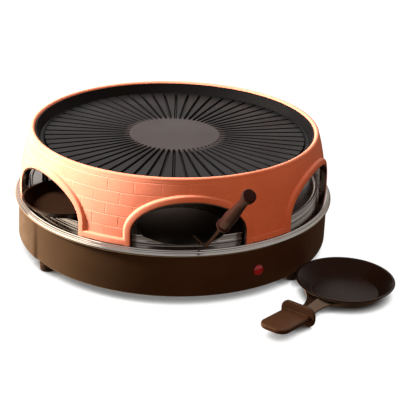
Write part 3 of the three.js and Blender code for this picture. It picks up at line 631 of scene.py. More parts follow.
@dataclass
class Skin:
    """Corners and faces of one closed form, in millimetres."""

    corners: np.ndarray
    faces: list[tuple[int, ...]]
    joint: np.ndarray | None = None

    def moved(self, matrix: Matrix) -> "Skin":
        """Gives the skin moved.

        Args:
            matrix: the move, in millimetres.

        Returns:
            The moved skin.
        """
        turn = np.array(matrix.to_3x3())
        shift = np.array(matrix.translation)
        return Skin(self.corners @ turn.T + shift, self.faces, self.joint)


def at_turn(turn: float, radius: float = 0.0, height: float = 0.0) -> Matrix:
    """Gives a place that is turned about the axis.

    Args:
        turn: its turn in degrees.
        radius: how far it lies from the axis.
        height: its height.

    Returns:
        The place, with its own -Y pointing outwards.
    """
    angle = math.radians(turn)
    place = Vector((radius * math.sin(angle), -radius * math.cos(angle), height))
    return Matrix.Translation(place) @ Matrix.Rotation(angle, 4, "Z")


def facing_out(turn: float, radius: float, height: float) -> Matrix:
    """Gives a place whose own +Z points outwards from the axis."""
    return at_turn(turn, radius, height) @ Matrix.Rotation(math.pi / 2, 4, "X")


def point_at(turn: float, radius: float, height: float, aside: float = 0.0) -> Vector:
    """Gives a point at a turn about the axis.

    Args:
        turn: its turn in degrees.
        radius: how far out it lies.
        height: its height.
        aside: how far it lies beside the line from the axis.

    Returns:
        The point.
    """
    angle = math.radians(turn)
    across = radius * math.sin(angle) + aside * math.cos(angle)
    along = -radius * math.cos(angle) + aside * math.sin(angle)
    return Vector((across, along, height))


def arc(middle: Point2, radius: float, turns: Iterable[float], rise: float | None = None) -> list[Point2]:
    """Gives points on a circle or an ellipse.

    Args:
        middle: its middle.
        radius: its half width.
        turns: each point's turn in degrees, counter-clockwise from the right.
        rise: its half height, where that is another.

    Returns:
        The points.
    """
    height = radius if rise is None else rise
    angles = [math.radians(turn) for turn in turns]
    return [(middle[0] + radius * math.cos(angle), middle[1] + height * math.sin(angle)) for angle in angles]


def softened(points: Sequence[tuple[float, ...]], steps: int = 5, closed: bool = False) -> list[Point2]:
    """Rounds the corners of an outline.

    Args:
        points: across and up, and where a corner is rounded its radius.
        steps: how many pieces a rounded corner has.
        closed: whether the last point joins the first.

    Returns:
        The outline's points.
    """
    result: list[Point2] = []
    count = len(points)
    for i, corner in enumerate(points):
        here = Vector(corner[:2])
        radius = corner[2] if len(corner) > 2 else 0.0
        if radius <= 0 or (not closed and i in (0, count - 1)):
            result.append((here.x, here.y))
            continue
        before = Vector(points[i - 1][:2]) - here
        after = Vector(points[(i + 1) % count][:2]) - here
        half = before.angle(after) / 2
        reach = min(radius / math.tan(half), before.length * 0.499, after.length * 0.499)
        radius = reach * math.tan(half)
        start = here + before.normalized() * reach
        end = here + after.normalized() * reach
        bisector = (before.normalized() + after.normalized()).normalized()
        middle = here + bisector * (radius / math.sin(half))
        from_middle = start - middle
        sweep = from_middle.angle_signed(end - middle)
        for k in range(steps + 1):
            turned_by = Matrix.Rotation(-sweep * k / steps, 2)
            spot = middle + turned_by @ from_middle
            result.append((spot.x, spot.y))
    return result


def turned(profile: Sequence[Point2], sides: int = 144) -> Skin:
    """Turns a profile of radius and height about the axis.

    Args:
        profile: its points in order; one that leaves the axis closes on itself.
        sides: how many facets go round.

    Returns:
        The closed form.
    """
    outline = list(profile)
    on_axis = [abs(point[0]) < TINY for point in outline]
    turns = np.arange(sides) * (2 * math.pi / sides)
    corners: list[np.ndarray] = []
    rings: list[list[int]] = []
    total = 0
    for (out, up), pole in zip(outline, on_axis):
        if pole:
            corners.append(np.array([[0.0, 0.0, up]]))
            rings.append([total] * sides)
            total += 1
        else:
            corners.append(np.stack([out * np.sin(turns), -out * np.cos(turns), np.full(sides, up)], axis=1))
            rings.append(list(range(total, total + sides)))
            total += sides
    faces: list[tuple[int, ...]] = []
    last = len(outline) if not any(on_axis) else len(outline) - 1
    for r in range(last):
        low, high = rings[r], rings[(r + 1) % len(outline)]
        if low[0] == low[-1] and high[0] == high[-1]:
            continue
        for i in range(sides):
            j = (i + 1) % sides
            face = (low[i], low[j], high[j], high[i])
            kept = tuple(dict.fromkeys(face))
            if len(kept) > 2:
                faces.append(kept)
    return Skin(np.concatenate(corners), faces)


def lofted(rings: Sequence[Sequence[Sequence[float]]]) -> Skin:
    """Skins rings of points that follow each other, and closes both ends.

    Args:
        rings: equal counts of points, each ring closed on itself.

    Returns:
        The form.
    """
    count = len(rings[0])
    corners = np.array([list(point) for ring in rings for point in ring], dtype=float)
    faces: list[tuple[int, ...]] = []
    for r in range(len(rings) - 1):
        low, high = r * count, (r + 1) * count
        for i in range(count):
            j = (i + 1) % count
            faces.append((low + i, low + j, high + j, high + i))
    last = (len(rings) - 1) * count
    faces.append(tuple(reversed(range(count))))
    faces.append(tuple(range(last, last + count)))
    return Skin(corners, faces)


def round_section(radius: float, sides: int = 16) -> list[Point2]:
    """Gives a circle's points."""
    turns = [2 * math.pi * i / sides for i in range(sides)]
    return [(radius * math.cos(turn), radius * math.sin(turn)) for turn in turns]


def smoothed(points: Sequence[Vector], per_span: int) -> list[Vector]:
    """Gives a smooth centripetal line through points.

    Args:
        points: the points on the line.
        per_span: how many steps lie between two of them.

    Returns:
        The points of the line.
    """
    chain = [2 * points[0] - points[1], *points, 2 * points[-1] - points[-2]]
    line: list[Vector] = []
    for s in range(len(points) - 1):
        p0, p1, p2, p3 = chain[s : s + 4]
        t0 = 0.0
        t1 = t0 + max((p1 - p0).length, TINY) ** 0.5
        t2 = t1 + max((p2 - p1).length, TINY) ** 0.5
        t3 = t2 + max((p3 - p2).length, TINY) ** 0.5
        for k in range(per_span):
            t = t1 + (t2 - t1) * k / per_span
            a1 = p0 * ((t1 - t) / (t1 - t0)) + p1 * ((t - t0) / (t1 - t0))
            a2 = p1 * ((t2 - t) / (t2 - t1)) + p2 * ((t - t1) / (t2 - t1))
            a3 = p2 * ((t3 - t) / (t3 - t2)) + p3 * ((t - t2) / (t3 - t2))
            b1 = a1 * ((t2 - t) / (t2 - t0)) + a2 * ((t - t0) / (t2 - t0))
            b2 = a2 * ((t3 - t) / (t3 - t1)) + a3 * ((t - t1) / (t3 - t1))
            line.append(b1 * ((t2 - t) / (t2 - t1)) + b2 * ((t - t1) / (t2 - t1)))
    line.append(points[-1].copy())
    return line


def swept(line: Sequence[Vector], section: Sequence[Point2]) -> Skin:
    """Sweeps a closed section along a line without twist.

    Args:
        line: the points of the line.
        section: the section's points, aside and up.

    Returns:
        The closed form.
    """
    rings = []
    normal = Vector((0, 0, 1))
    for i, spot in enumerate(line):
        ahead = (line[min(i + 1, len(line) - 1)] - line[max(i - 1, 0)]).normalized()
        if abs(ahead.dot(normal)) > 0.999:
            normal = Vector((0, 1, 0)) if abs(ahead.y) < 0.9 else Vector((1, 0, 0))
        normal = (normal - ahead * ahead.dot(normal)).normalized()
        side = ahead.cross(normal)
        rings.append([spot + side * a + normal * b for a, b in section])
    return lofted(rings)


def plated(outline: Sequence[Point2], thickness: float, edge: float = 0.0, steps: int = 3) -> Skin:
    """Makes a flat plate from an outline, from z = 0 up, with rounded edges.

    Args:
        outline: the plate's closed outline, counter-clockwise.
        thickness: its thickness.
        edge: the rounding of both its edges.
        steps: how many steps an edge has.

    Returns:
        The closed form.
    """
    points = [Vector(point) for point in outline]
    count = len(points)
    inward = []
    for i in range(count):
        ahead = (points[(i + 1) % count] - points[i]).normalized()
        behind = (points[i] - points[i - 1]).normalized()
        left = Vector((-ahead.y - behind.y, ahead.x + behind.x)).normalized()
        inward.append(left / max(left.dot(Vector((-ahead.y, ahead.x))), 0.5))
    levels: list[tuple[float, float]] = []
    if edge > 0:
        for k in range(steps + 1):
            turn = math.pi / 2 * k / steps
            levels.append((edge * (1 - math.sin(turn)), edge * (1 - math.cos(turn))))
        levels += [(inset, thickness - up) for inset, up in reversed(levels)]
    else:
        levels = [(0.0, 0.0), (0.0, thickness)]
    rings = [
        [(*(point + inwards * inset), up) for point, inwards in zip(points, inward)] for inset, up in levels
    ]
    return lofted(rings)


def rounded_outline(width: float, height: float, corner: float, steps: int = 8) -> list[Point2]:
    """Gives a rounded rectangle's outline about the origin, counter-clockwise."""
    x, y = width / 2, height / 2
    return softened([(x, -y, corner), (x, y, corner), (-x, y, corner), (-x, -y, corner)], steps, closed=True)


def block(width: float, depth: float, height: float, edge: float) -> Skin:
    """Gives a block about the origin with rounded edges, its base on z = 0."""
    return plated(rounded_outline(width, depth, max(edge, 0.3), 3), height, edge)


def pillar(radius: float, low: float, high: float, place: float = 0.0) -> Skin:
    """Gives a plain cylinder from one height to another, this far in front of the axis."""
    skin = turned([(0, low), (radius, low), (radius, high), (0, high)], 24)
    return skin.moved(Matrix.Translation((0, -place, 0)))


class Bench:
    """Makes pieces from skins and lays them on the frame."""

    def __init__(self) -> None:
        """Starts with no pieces."""
        self.count = 0

    def raw(self, name: str, skin: Skin) -> Piece:
        """Makes a plain object from a skin, in metres, with its faces turned outwards.

        Args:
            name: the object's name.
            skin: its corners and faces.

        Returns:
            The object.
        """
        mesh = bpy.data.meshes.new(name)
        mesh.from_pydata((skin.corners * MM).tolist(), [], skin.faces)
        if skin.joint is not None:
            layer = mesh.attributes.new("joint", "FLOAT", "POINT")
            layer.data.foreach_set("value", skin.joint.astype(np.float32))
        shape = bmesh.new()
        shape.from_mesh(mesh)
        bmesh.ops.recalc_face_normals(shape, faces=shape.faces)
        shape.to_mesh(mesh)
        shape.free()
        piece = bpy.data.objects.new(name, mesh)
        bpy.context.scene.collection.objects.link(piece)
        return piece

    def worked(self, piece: Piece, work: Work, tools: Iterable[Skin]) -> Piece:
        """Cuts tools from a piece, or joins them to it.

        Args:
            piece: the piece to work on.
            work: whether the tools cut or join.
            tools: the forms to work with.

        Returns:
            The same piece with its new mesh.
        """
        for tool in tools:
            helper = self.raw("tool", tool)
            change = piece.modifiers.new("work", "BOOLEAN")
            change.solver = "MANIFOLD"
            change.operation = work.value
            change.object = helper
            self.settle(piece)
            bpy.data.objects.remove(helper)
        return piece

    def settle(self, piece: Piece) -> None:
        """Applies a piece's modifiers.

        Args:
            piece: the piece.
        """
        graph = bpy.context.evaluated_depsgraph_get()
        mesh = bpy.data.meshes.new_from_object(piece.evaluated_get(graph))
        piece.modifiers.clear()
        old = piece.data
        piece.data = mesh
        bpy.data.meshes.remove(old)

    def dress(
        self, piece: Piece, finish: Finish, body: Body, stands_for: Sequence[str] = (), smooth: float = 32.0
    ) -> Piece:
        """Gives a piece its finish and its place on the frame.

        Args:
            piece: the piece.
            finish: its finish.
            body: what it moves with.
            stands_for: the model's nodes that it replaces.
            smooth: the angle in degrees up to which neighbouring faces are shaded as one.

        Returns:
            The same piece.
        """
        mesh = piece.data
        mesh.materials.clear()
        mesh.materials.append(finish.material())
        mesh.polygons.foreach_set("use_smooth", [True] * len(mesh.polygons))
        mesh.set_sharp_from_angle(angle=math.radians(smooth))
        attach(piece, body.value)
        if stands_for:
            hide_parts(*stands_for)
        self.count += 1
        log.info("%s: %d faces, on %s", piece.name, len(mesh.polygons), body.value)
        return piece

    def lay(
        self,
        name: str,
        skin: Skin,
        finish: Finish,
        body: Body,
        stands_for: Sequence[str] = (),
        smooth: float = 32.0,
    ) -> Piece:
        """Makes a piece from a skin and dresses it.

        Args:
            name: the piece's name.
            skin: its form.
            finish: its finish.
            body: what it moves with.
            stands_for: the model's nodes that it replaces.
            smooth: the angle in degrees up to which neighbouring faces are shaded as one.

        Returns:
            The piece.
        """
        return self.dress(self.raw(name, skin), finish, body, stands_for, smooth)


@dataclass
class Base:
    """The brown base with its cover, feet, lamp, gland and wiring."""

    bench: Bench
    top: float = 63.5
    wall: float = 3.0
    corner: float = 5.0
    flange_inner: float = 167.3
    sides: int = 240
    cover_radius: float = 176.3
    cover_thickness: float = 1.2
    cover_band: float = 124.0
    screw_ring: float = 171.8
    screw_count: int = 6
    screw_bore: float = 1.8
    screw_depth: float = 12.8
    screw_tip: float = 11.0
    boss_radius: float = 4.4
    boss_top: float = 16.5
    vent_ring: float = 78.0
    vent_count: int = 12
    vent_size: Point2 = (5.0, 26.0)
    foot_ring: float = 198.0
    foot_turns: tuple[float, ...] = (53.0, 127.0, 233.0, 307.0)
    foot_bore: float = 3.3
    foot_depth: float = 2.7
    lamp_turn: float = 32.3
    lamp_height: float = 26.8
    lamp_bore: float = 4.9
    gland_height: float = 22.0
    gland_bore: float = 6.3
    terminal_place: Point3 = (0.0, 146.0, 1.5)
    terminal_pitch: float = 12.0
    lead_radius: float = 1.2
    swell: float = 3.0
    swell_top: float = 56.0
    swell_fade: float = 3.0
    swell_foot: float = 10.0
    swell_turns: Point2 = (-56.0, -126.0)
    swell_rise: float = 12.0
    crease: float = 0.1

    def swollen(self, skin: Skin) -> Skin:
        """Swells the outer wall on the left, from a crease, and fades the swell out under the tray.

        Args:
            skin: the plain turned shell.

        Returns:
            The same shell with its swell.
        """
        first, last = self.swell_turns
        for corner in skin.corners:
            out = math.hypot(corner[0], corner[1])
            turn = math.degrees(math.atan2(corner[0], -corner[1]))
            if out < BASE_RADIUS - self.wall / 2 or not last < turn < first:
                continue
            rise = min(1.0, (turn - last) / self.swell_rise)
            under_tray = max(0.0, min(1.0, (self.swell_top - corner[2]) / self.swell_fade))
            over_table = min(1.0, (corner[2] + 1) / self.swell_foot)
            at_crease = first - turn < 360 / self.sides
            back = Matrix.Rotation(math.radians(first - turn - self.crease if at_crease else 0.0), 2)
            growth = self.swell * rise * (under_tray * over_table) / out
            corner[:2] = np.array(back) @ corner[:2] * (1 + growth)
        return skin

    def screw_turns(self) -> list[float]:
        """Gives each screw's turn."""
        return [i * 360 / self.screw_count for i in range(self.screw_count)]

    def housing(self) -> None:
        """Builds the shell with its flange, bosses and side holes."""
        rebate = self.cover_radius + SEAT_GAP
        inner = BASE_RADIUS - self.wall
        ledge = self.cover_thickness + SEAT_GAP
        profile = softened(
            [
                (self.flange_inner, ledge, 0.3), (rebate, ledge), (rebate, 0.0, 0.3),
                (BASE_RADIUS, 0.0, self.corner), (BASE_RADIUS, self.top, 0.8), (inner, self.top, 0.8),
                (inner, self.wall, 2.0), (rebate + self.wall, self.wall),
                (rebate + self.wall, ledge + self.wall, 0.3),
                (self.flange_inner, ledge + self.wall, 0.3),
            ],
            6, closed=True,
        )
        shell = self.bench.raw("base_shell", self.swollen(turned(profile, self.sides)))
        boss = pillar(self.boss_radius, self.wall, self.boss_top, self.screw_ring)
        bore = pillar(self.screw_bore, -OVERCUT, self.screw_depth, self.screw_ring)
        foot_bore = pillar(self.foot_bore, -OVERCUT, self.foot_depth, self.foot_ring)
        lamp_bore = pillar(self.lamp_bore, -2 * OVERCUT, OVERCUT)
        gland_bore = pillar(self.gland_bore, -2 * OVERCUT, OVERCUT)
        screws = [at_turn(turn) for turn in self.screw_turns()]
        self.bench.worked(shell, Work.JOIN, [boss.moved(place) for place in screws])
        cuts = [bore.moved(place) for place in screws]
        cuts += [foot_bore.moved(at_turn(turn)) for turn in self.foot_turns]
        cuts.append(lamp_bore.moved(facing_out(self.lamp_turn, BASE_RADIUS, self.lamp_height)))
        cuts.append(gland_bore.moved(facing_out(180.0, BASE_RADIUS, self.gland_height)))
        self.bench.worked(shell, Work.CUT, cuts)
        self.bench.dress(shell, BASE_PLASTIC, Body.BASE, ["base_housing"])

    def cover(self) -> None:
        """Builds the bottom cover with its raised band and its vent slots."""
        radius, thick, band = self.cover_radius, self.cover_thickness, self.cover_band
        fold, rise = 2.0, 0.5
        profile = softened(
            [
                (0, 0), (band, 0, 0.6), (band + fold, rise, 0.6), (radius - 10, rise, 0.6),
                (radius - 10 + fold, 0, 0.6), (radius, 0, 0.3), (radius, thick, 0.3), (0, thick),
            ],
            3,
        )
        plate = self.bench.raw("cover_plate", turned(profile, 192))
        width, length = self.vent_size
        vent = plated(rounded_outline(width, length, width / 2), thick + 2 * OVERCUT)
        vent = vent.moved(Matrix.Translation((0, -self.vent_ring, -OVERCUT)))
        cuts = [vent.moved(at_turn(i * 360 / self.vent_count)) for i in range(self.vent_count)]
        hole = pillar(self.screw_bore, -OVERCUT, thick + OVERCUT, self.screw_ring)
        cuts += [hole.moved(at_turn(turn)) for turn in self.screw_turns()]
        self.bench.worked(plate, Work.CUT, cuts)
        self.bench.dress(plate, BAR_STEEL, Body.BASE, ["bottom_cover"])

    def screws(self) -> None:
        """Builds the cover's screws with their cross recesses."""
        head, shank, under, tip = 3.2, 1.5, -0.3, self.screw_tip
        profile = softened(
            [
                (0, -2.2), (head, -2.2, 1.1), (head, under, 0.2), (shank, under),
                (shank, tip - 0.6, 0.3), (0.6, tip), (0, tip),
            ],
            5,
        )
        arms = [block(3.6, 0.7, 1.4, 0.1), block(0.7, 3.6, 1.4, 0.1)]
        for i, turn in enumerate(self.screw_turns()):
            spot = at_turn(turn, self.screw_ring)
            screw = self.bench.raw(f"screw_{i + 1}", turned(profile, 32).moved(spot))
            recess = [arm.moved(spot @ Matrix.Translation((0, 0, -2.7))) for arm in arms]
            self.bench.worked(screw, Work.CUT, recess)
            self.bench.dress(screw, BAR_STEEL, Body.BASE, [f"cover_screw_{i + 1}"])

    def feet(self) -> None:
        """Builds the four rubber feet, each with a spigot in the shell."""
        under = -SEAT_GAP
        profile = softened(
            [
                (0, TABLE_LEVEL + 0.6), (4.6, TABLE_LEVEL + 0.6, 0.3), (5.3, TABLE_LEVEL, 0.3),
                (9.7, TABLE_LEVEL, 1.6), (10.5, under, 0.5), (3, under), (3, 2.4, 0.4), (0, 2.4),
            ],
            5,
        )
        for i, turn in enumerate(self.foot_turns):
            skin = turned(profile, 64).moved(at_turn(turn, self.foot_ring))
            self.bench.lay(f"rubber_foot_{i + 1}", skin, RUBBER, Body.BASE, [f"foot_{i + 1}"])

    def lamp(self) -> None:
        """Builds the lamp's domed lens and its holder."""
        spot = facing_out(self.lamp_turn, BASE_RADIUS, self.lamp_height)
        neck, tail = 4.6, -9.0
        dome = arc((0.0, 0.9), 7.0, range(0, 90, 6), 3.9)
        lens = [(0, tail), (neck, tail), (neck, SEAT_GAP), (7.2, SEAT_GAP), (7.2, 0.7), *dome, (0, 4.8)]
        self.bench.lay("lamp_lens", turned(lens, 64).moved(spot), RED_LENS, Body.BASE, ["indicator_lens"])
        outer, inner, end, mouth = 7.1, self.lamp_bore, -19.9, -3.9
        cup = softened(
            [
                (0, end), (outer, end, 0.6), (outer, mouth, 0.4), (inner, mouth, 0.3),
                (inner, tail - SEAT_GAP), (0, tail - SEAT_GAP),
            ],
            4,
        )
        self.bench.lay("lamp_cup", turned(cup, 48).moved(spot), DARK_PLASTIC, Body.BASE, ["lamp_holder"])

    def gland(self) -> None:
        """Builds the bare cord gland at the rear, with a groove that holds it in the wall."""
        spot = facing_out(180.0, BASE_RADIUS, self.gland_height)
        bore, flange, waist = 3.6, 8.5, 6.0
        profile = softened(
            [
                (bore, 2.4, 0.6), (bore, -6.3, 0.6), (flange, -6.3, 0.8), (flange, -3.9, 0.3),
                (waist, -3.9), (waist, SEAT_GAP), (flange, SEAT_GAP, 0.3), (7.6, 2.4, 1.0),
            ],
            5, closed=True,
        )
        self.bench.lay("gland_ring", turned(profile, 64).moved(spot), RUBBER, Body.BASE, ["cord_gland"])

    def wiring(self) -> None:
        """Builds the terminal block and the thermal cut-out."""
        spot = Matrix.Translation(self.terminal_place)
        terminal = self.bench.raw("terminal_body", block(36, 16, 13, 0.8).moved(spot))
        pitch = self.terminal_pitch
        wells = [pillar(2.2, 8, 17).moved(spot @ Matrix.Translation((x, 0, 0))) for x in (-pitch, 0, pitch)]
        self.bench.worked(terminal, Work.CUT, wells)
        self.bench.dress(terminal, CERAMIC, Body.BASE, ["terminal_block"])
        can, flange, step, height = 5.67, 8.0, 4.67, 7.0
        profile = softened(
            [(0, 0), (can, 0, 0.5), (can, step), (flange, step, 0.3), (flange, height, 0.5), (0, height)], 4
        )
        skin = turned(profile, 48).moved(Matrix.Translation((0, -62, 38.5)))
        self.bench.lay("cutout_can", skin, BAR_STEEL, Body.BASE, ["thermal_cutout"])

    def leads(self) -> None:
        """Builds the leads from the terminal block to the lamp and to both heaters."""
        front, middle, level, clear = 137.4, 8.0, 6.3, 4.8
        holder = BASE_RADIUS - self.wall - 16 - self.lead_radius
        end, rise = 26.7, 13.0
        pin = point_at(180, 119, end - rise, 14)
        leg = point_at(217.2, 174, end - rise, -11)
        up = Vector((0, 0, rise))
        routes = {
            "lead_lamp": [
                Vector((self.terminal_pitch, front, middle)),
                Vector((self.terminal_pitch, front - clear, middle)),
                Vector((36, 73, level)), Vector((72, 0, level)),
                point_at(self.lamp_turn, holder - 16, self.lamp_height),
                point_at(self.lamp_turn, holder, self.lamp_height),
            ],
            "lead_lower_heater": [
                Vector((0, front, middle)), Vector((0, front - clear, middle)), pin, pin + up
            ],
            "lead_upper_heater": [
                Vector((-18.6, 146, middle)), Vector((-18.6 - clear, 146, middle)), leg, leg + up
            ],
        }
        for name, points in routes.items():
            skin = swept(smoothed(points, 10), round_section(self.lead_radius, 12))
            self.bench.lay(f"{name}_sleeve", skin, DARK_PLASTIC, Body.BASE, [name], smooth=60)

    def build(self) -> None:
        """Builds the whole base."""
        self.housing()
        self.cover()
        self.screws()
        self.feet()
        self.lamp()
        self.gland()
        self.wiring()
        self.leads()


@dataclass
class Hearth:
    """The steel tray, the baking plate, both heaters and what carries them."""

    bench: Bench
    carrier_level: float = 107.6
    carrier_thickness: float = 1.5
    carrier_reach: Point2 = (108.0, 128.0)
    arm_width: float = 14.0
    post_ring: float = 174.0
    post_turns: tuple[float, ...] = (37.2, 157.2, 277.2)
    post_radius: float = 4.2
    thread_radius: float = 2.6
    thread_length: float = 7.0
    thread_bore: float = 2.9
    nut_radius: float = 4.8
    nut_height: float = 4.0
    leg_turn: float = 217.2
    leg_gap: float = 22.0
    pin_gap: float = 28.0
    lower_radius: float = 119.0
    lower_level: float = 61.3
    upper_radius: float = 118.0
    sheath: float = 3.25
    tube_end: float = 37.0
    loop_points: int = 20
    saddle_half: float = 7.5
    saddle_height: float = 14.0
    saddle_depth: float = 8.0
    sheet: float = 1.2
    lip_middle: Point2 = (212.1, 59.0)
    lip_radius: float = 2.2

    def pins(self) -> list[Vector]:
        """Gives where the lower heater's ends go down."""
        return [point_at(180, self.lower_radius, 0, side * self.pin_gap / 2) for side in (-1, 1)]

    def legs(self) -> list[Vector]:
        """Gives where the upper heater's legs go down."""
        return [point_at(self.leg_turn, self.post_ring, 0, side * self.leg_gap / 2) for side in (-1, 1)]

    def posts(self) -> list[Vector]:
        """Gives where the posts stand."""
        return [point_at(turn, self.post_ring, 0) for turn in self.post_turns]

    def bored(self, points: Iterable[Vector], radius: float, low: float, high: float) -> list[Skin]:
        """Gives a cutting pillar at each point."""
        return [pillar(radius, low, high).moved(Matrix.Translation(point)) for point in points]

    def tray(self) -> None:
        """Builds the tray with its well, platform, ridge and rolled lip."""
        lip = arc(self.lip_middle, self.lip_radius, range(60, -181, -12))
        profile = softened(
            [
                (0, 45.8), (190.8, 45.8, 5), (190.8, 63.8, 0.8), (209.9, 63.8, 0.3),
                *reversed(lip),
                (212.7, 61.9, 0.4), (211.9, 62.2, 0.4), (211.5, 63.5, 0.5), (210.5, 63.9, 0.4),
                (210.0, 63.6, 0.2), (209.3, 65, 0.7), (189.6, 65, 1.6), (189.6, WELL_FLOOR, 3.8),
                (0, WELL_FLOOR),
            ],
            5,
        )
        tray = self.bench.raw("tray_sheet", turned(profile, 288))
        low, high = WELL_FLOOR - 6, WELL_FLOOR + 4
        holes = self.bored([*self.pins(), *self.legs()], 5.5, low, high)
        holes += self.bored(self.posts(), self.thread_bore, low, high)
        self.bench.worked(tray, Work.CUT, holes)
        self.bench.dress(tray, TRAY_STEEL, Body.BASE, ["steel_tray"])

    def baking_plate(self) -> None:
        """Builds the baking plate with its bead and skirt."""
        profile = softened(
            [
                (0, 71.5), (192, 71.5, 1), (192, 65.3, 0.3), (195.2, 65.3, 0.5), (195.2, 67.4, 0.9),
                (194.1, 68.6, 0.9), (194.0, 73.2, 1.2), (195.5, 74.3, 0.8), (194.6, BAKING_TOP, 1.3),
                (192.2, BAKING_TOP, 1.3), (190.6, 74.5, 1.3), (0, 74.5),
            ],
            6,
        )
        plate = self.bench.raw("baking_disc", turned(profile, 240))
        low, high = 67, 79
        holes = self.bored(self.legs(), self.sheath + PASS_GAP, low, high)
        holes += self.bored(self.posts(), self.post_radius + PASS_GAP, low, high)
        self.bench.worked(plate, Work.CUT, holes)
        self.bench.dress(plate, BAKING_STEEL, Body.BASE, ["baking_plate"])

    def lower_heater(self) -> None:
        """Builds the lower heater's loop with its ends."""
        level = self.lower_level
        bend = 3 * self.sheath
        opening = math.degrees((self.pin_gap / 2 + bend) / self.lower_radius)
        span = 360 - 2 * opening
        last = self.loop_points - 1
        turns = [180 + opening + span * i / last for i in reversed(range(self.loop_points))]
        loop = [point_at(turn, self.lower_radius, level) for turn in turns]

        def end(point: Vector, side: float) -> list[Vector]:
            """Gives one end's points, from the loop down."""
            top = Vector((point.x + side * bend / 8, point.y, level - bend / 3))
            return [top, Vector((point.x, point.y, level - bend)), Vector((point.x, point.y, self.tube_end))]

        first, second = self.pins()
        points = [*reversed(end(first, 1.0)), *loop, *end(second, -1.0)]
        skin = swept(smoothed(points, 6), round_section(self.sheath, 16))
        self.bench.lay("lower_heater_tube", skin, SHEATH, Body.BASE, ["lower_heater"], smooth=60)

    def saddles(self) -> None:
        """Builds the three saddles under the lower heater."""
        half, height = self.saddle_half, self.saddle_height
        notch = self.sheath + 2 * SEAT_GAP
        outline = softened([(-half, 0, 0.6), (half, 0, 0.6), (half, height, 0.6)], 3)
        outline += [*arc((0.0, height), notch, range(0, -181, -15)), (-half, height)]
        saddle = plated(outline, self.saddle_depth).moved(Matrix.Translation((0, 0, -self.saddle_depth / 2)))
        for i in range(3):
            spot = at_turn(i * 120, self.lower_radius, WELL_FLOOR + SEAT_GAP) @ UPRIGHT
            name = f"saddle_{i + 1}"
            self.bench.lay(name, saddle.moved(spot), CERAMIC, Body.BASE, [f"heater_{name}"])

    def upper_heater(self) -> None:
        """Builds the upper heater's legs and loop."""
        level = self.carrier_level + self.carrier_thickness + SEAT_GAP + self.sheath
        bend = 3 * self.sheath
        opening = math.degrees((self.leg_gap / 2 + 2 * bend) / self.upper_radius)
        span = 360 - 2 * opening
        last = self.loop_points - 1
        turns = [opening + span * i / last for i in range(self.loop_points)]
        loop = [point_at(turn, self.upper_radius, level) for turn in turns]

        def leg(side: float) -> list[Vector]:
            """Gives one leg's points.

            Args:
                side: -1 for the left leg and 1 for the right one.

            Returns:
                The points, from its foot up to the loop.
            """
            x, ring = side * self.leg_gap / 2, self.post_ring
            places = (
                (ring, self.tube_end), (ring, WELL_FLOOR), (ring, BAKING_TOP), (ring, level - 2 * bend),
                (ring - bend / 4, level - bend), (ring - bend, level - bend / 4),
                (ring - 2 * bend, level), (self.upper_radius + 2 * bend, level),
            )
            return [Vector((x, -out, up)) for out, up in places]

        points = [*leg(1), *loop, *reversed(leg(-1))]
        skin = swept(smoothed(points, 6), round_section(self.sheath, 16)).moved(at_turn(self.leg_turn))
        self.bench.lay("upper_heater_tube", skin, SHEATH, Body.BASE, ["upper_heater"], smooth=60)

    def carrier(self) -> None:
        """Builds the carrier's ring with its three arms."""
        level, thick = self.carrier_level, self.carrier_thickness
        inner, outer = self.carrier_reach
        ring = softened(
            [(inner, 0, 0.4), (outer, 0, 0.4), (outer, thick, 0.4), (inner, thick, 0.4)], 3, closed=True
        )
        lift = Matrix.Translation((0, 0, level))
        carrier = self.bench.raw("carrier_ring", turned(ring, 160).moved(lift))
        length = self.post_ring + self.arm_width / 2 - self.upper_radius
        arm = plated(rounded_outline(self.arm_width, length, 4.67), thick, 0.3)
        arm = arm.moved(Matrix.Translation((0, -(self.upper_radius + length / 2), 0)))
        self.bench.worked(carrier, Work.JOIN, [arm.moved(lift @ at_turn(turn)) for turn in self.post_turns])
        bores = self.bored(self.posts(), self.thread_bore, level - 4, level + 5)
        self.bench.worked(carrier, Work.CUT, bores)
        self.bench.dress(carrier, BAR_STEEL, Body.BASE, ["heater_carrier"])

    def fittings(self) -> None:
        """Builds the posts, each with its two nuts and the heater's clip."""
        level = self.carrier_level
        shoulder, top = WELL_FLOOR + SEAT_GAP, level - SEAT_GAP
        thread, length, wide = self.thread_radius, self.thread_length, self.post_radius
        post = softened(
            [
                (0, shoulder - length), (thread, shoulder - length, 0.5), (thread, shoulder),
                (wide, shoulder, 0.4), (wide, top, 0.4), (thread, top), (thread, top + length, 0.5),
                (0, top + length),
            ],
            4,
        )
        nut = plated(arc((0.0, 0.0), self.nut_radius, range(0, 360, 60)), self.nut_height, 0.4)
        clip = self.clip_skin()
        clip_level = level + self.carrier_thickness
        nut_levels = {"post": 41.5, "carrier": clip_level + SEAT_GAP}
        for i, turn in enumerate(self.post_turns):
            number = i + 1
            spot = at_turn(turn, self.post_ring)
            skin = turned(post, 40).moved(spot)
            self.bench.lay(f"post_{number}", skin, BAR_STEEL, Body.BASE, [f"support_post_{number}"])
            for kind, height in nut_levels.items():
                name = f"{kind}_nut_{number}"
                hexagon = self.bench.raw(f"{name}_hex", nut.moved(spot @ Matrix.Translation((0, 0, height))))
                bore = pillar(self.thread_bore, height - 2, height + 6).moved(spot)
                self.bench.worked(hexagon, Work.CUT, [bore])
                self.bench.dress(hexagon, BAR_STEEL, Body.BASE, [name])
            place = at_turn(turn, self.upper_radius, clip_level)
            name = f"clip_{number}"
            self.bench.lay(name, clip.moved(place), BAR_STEEL, Body.BASE, [f"heater_{name}"])

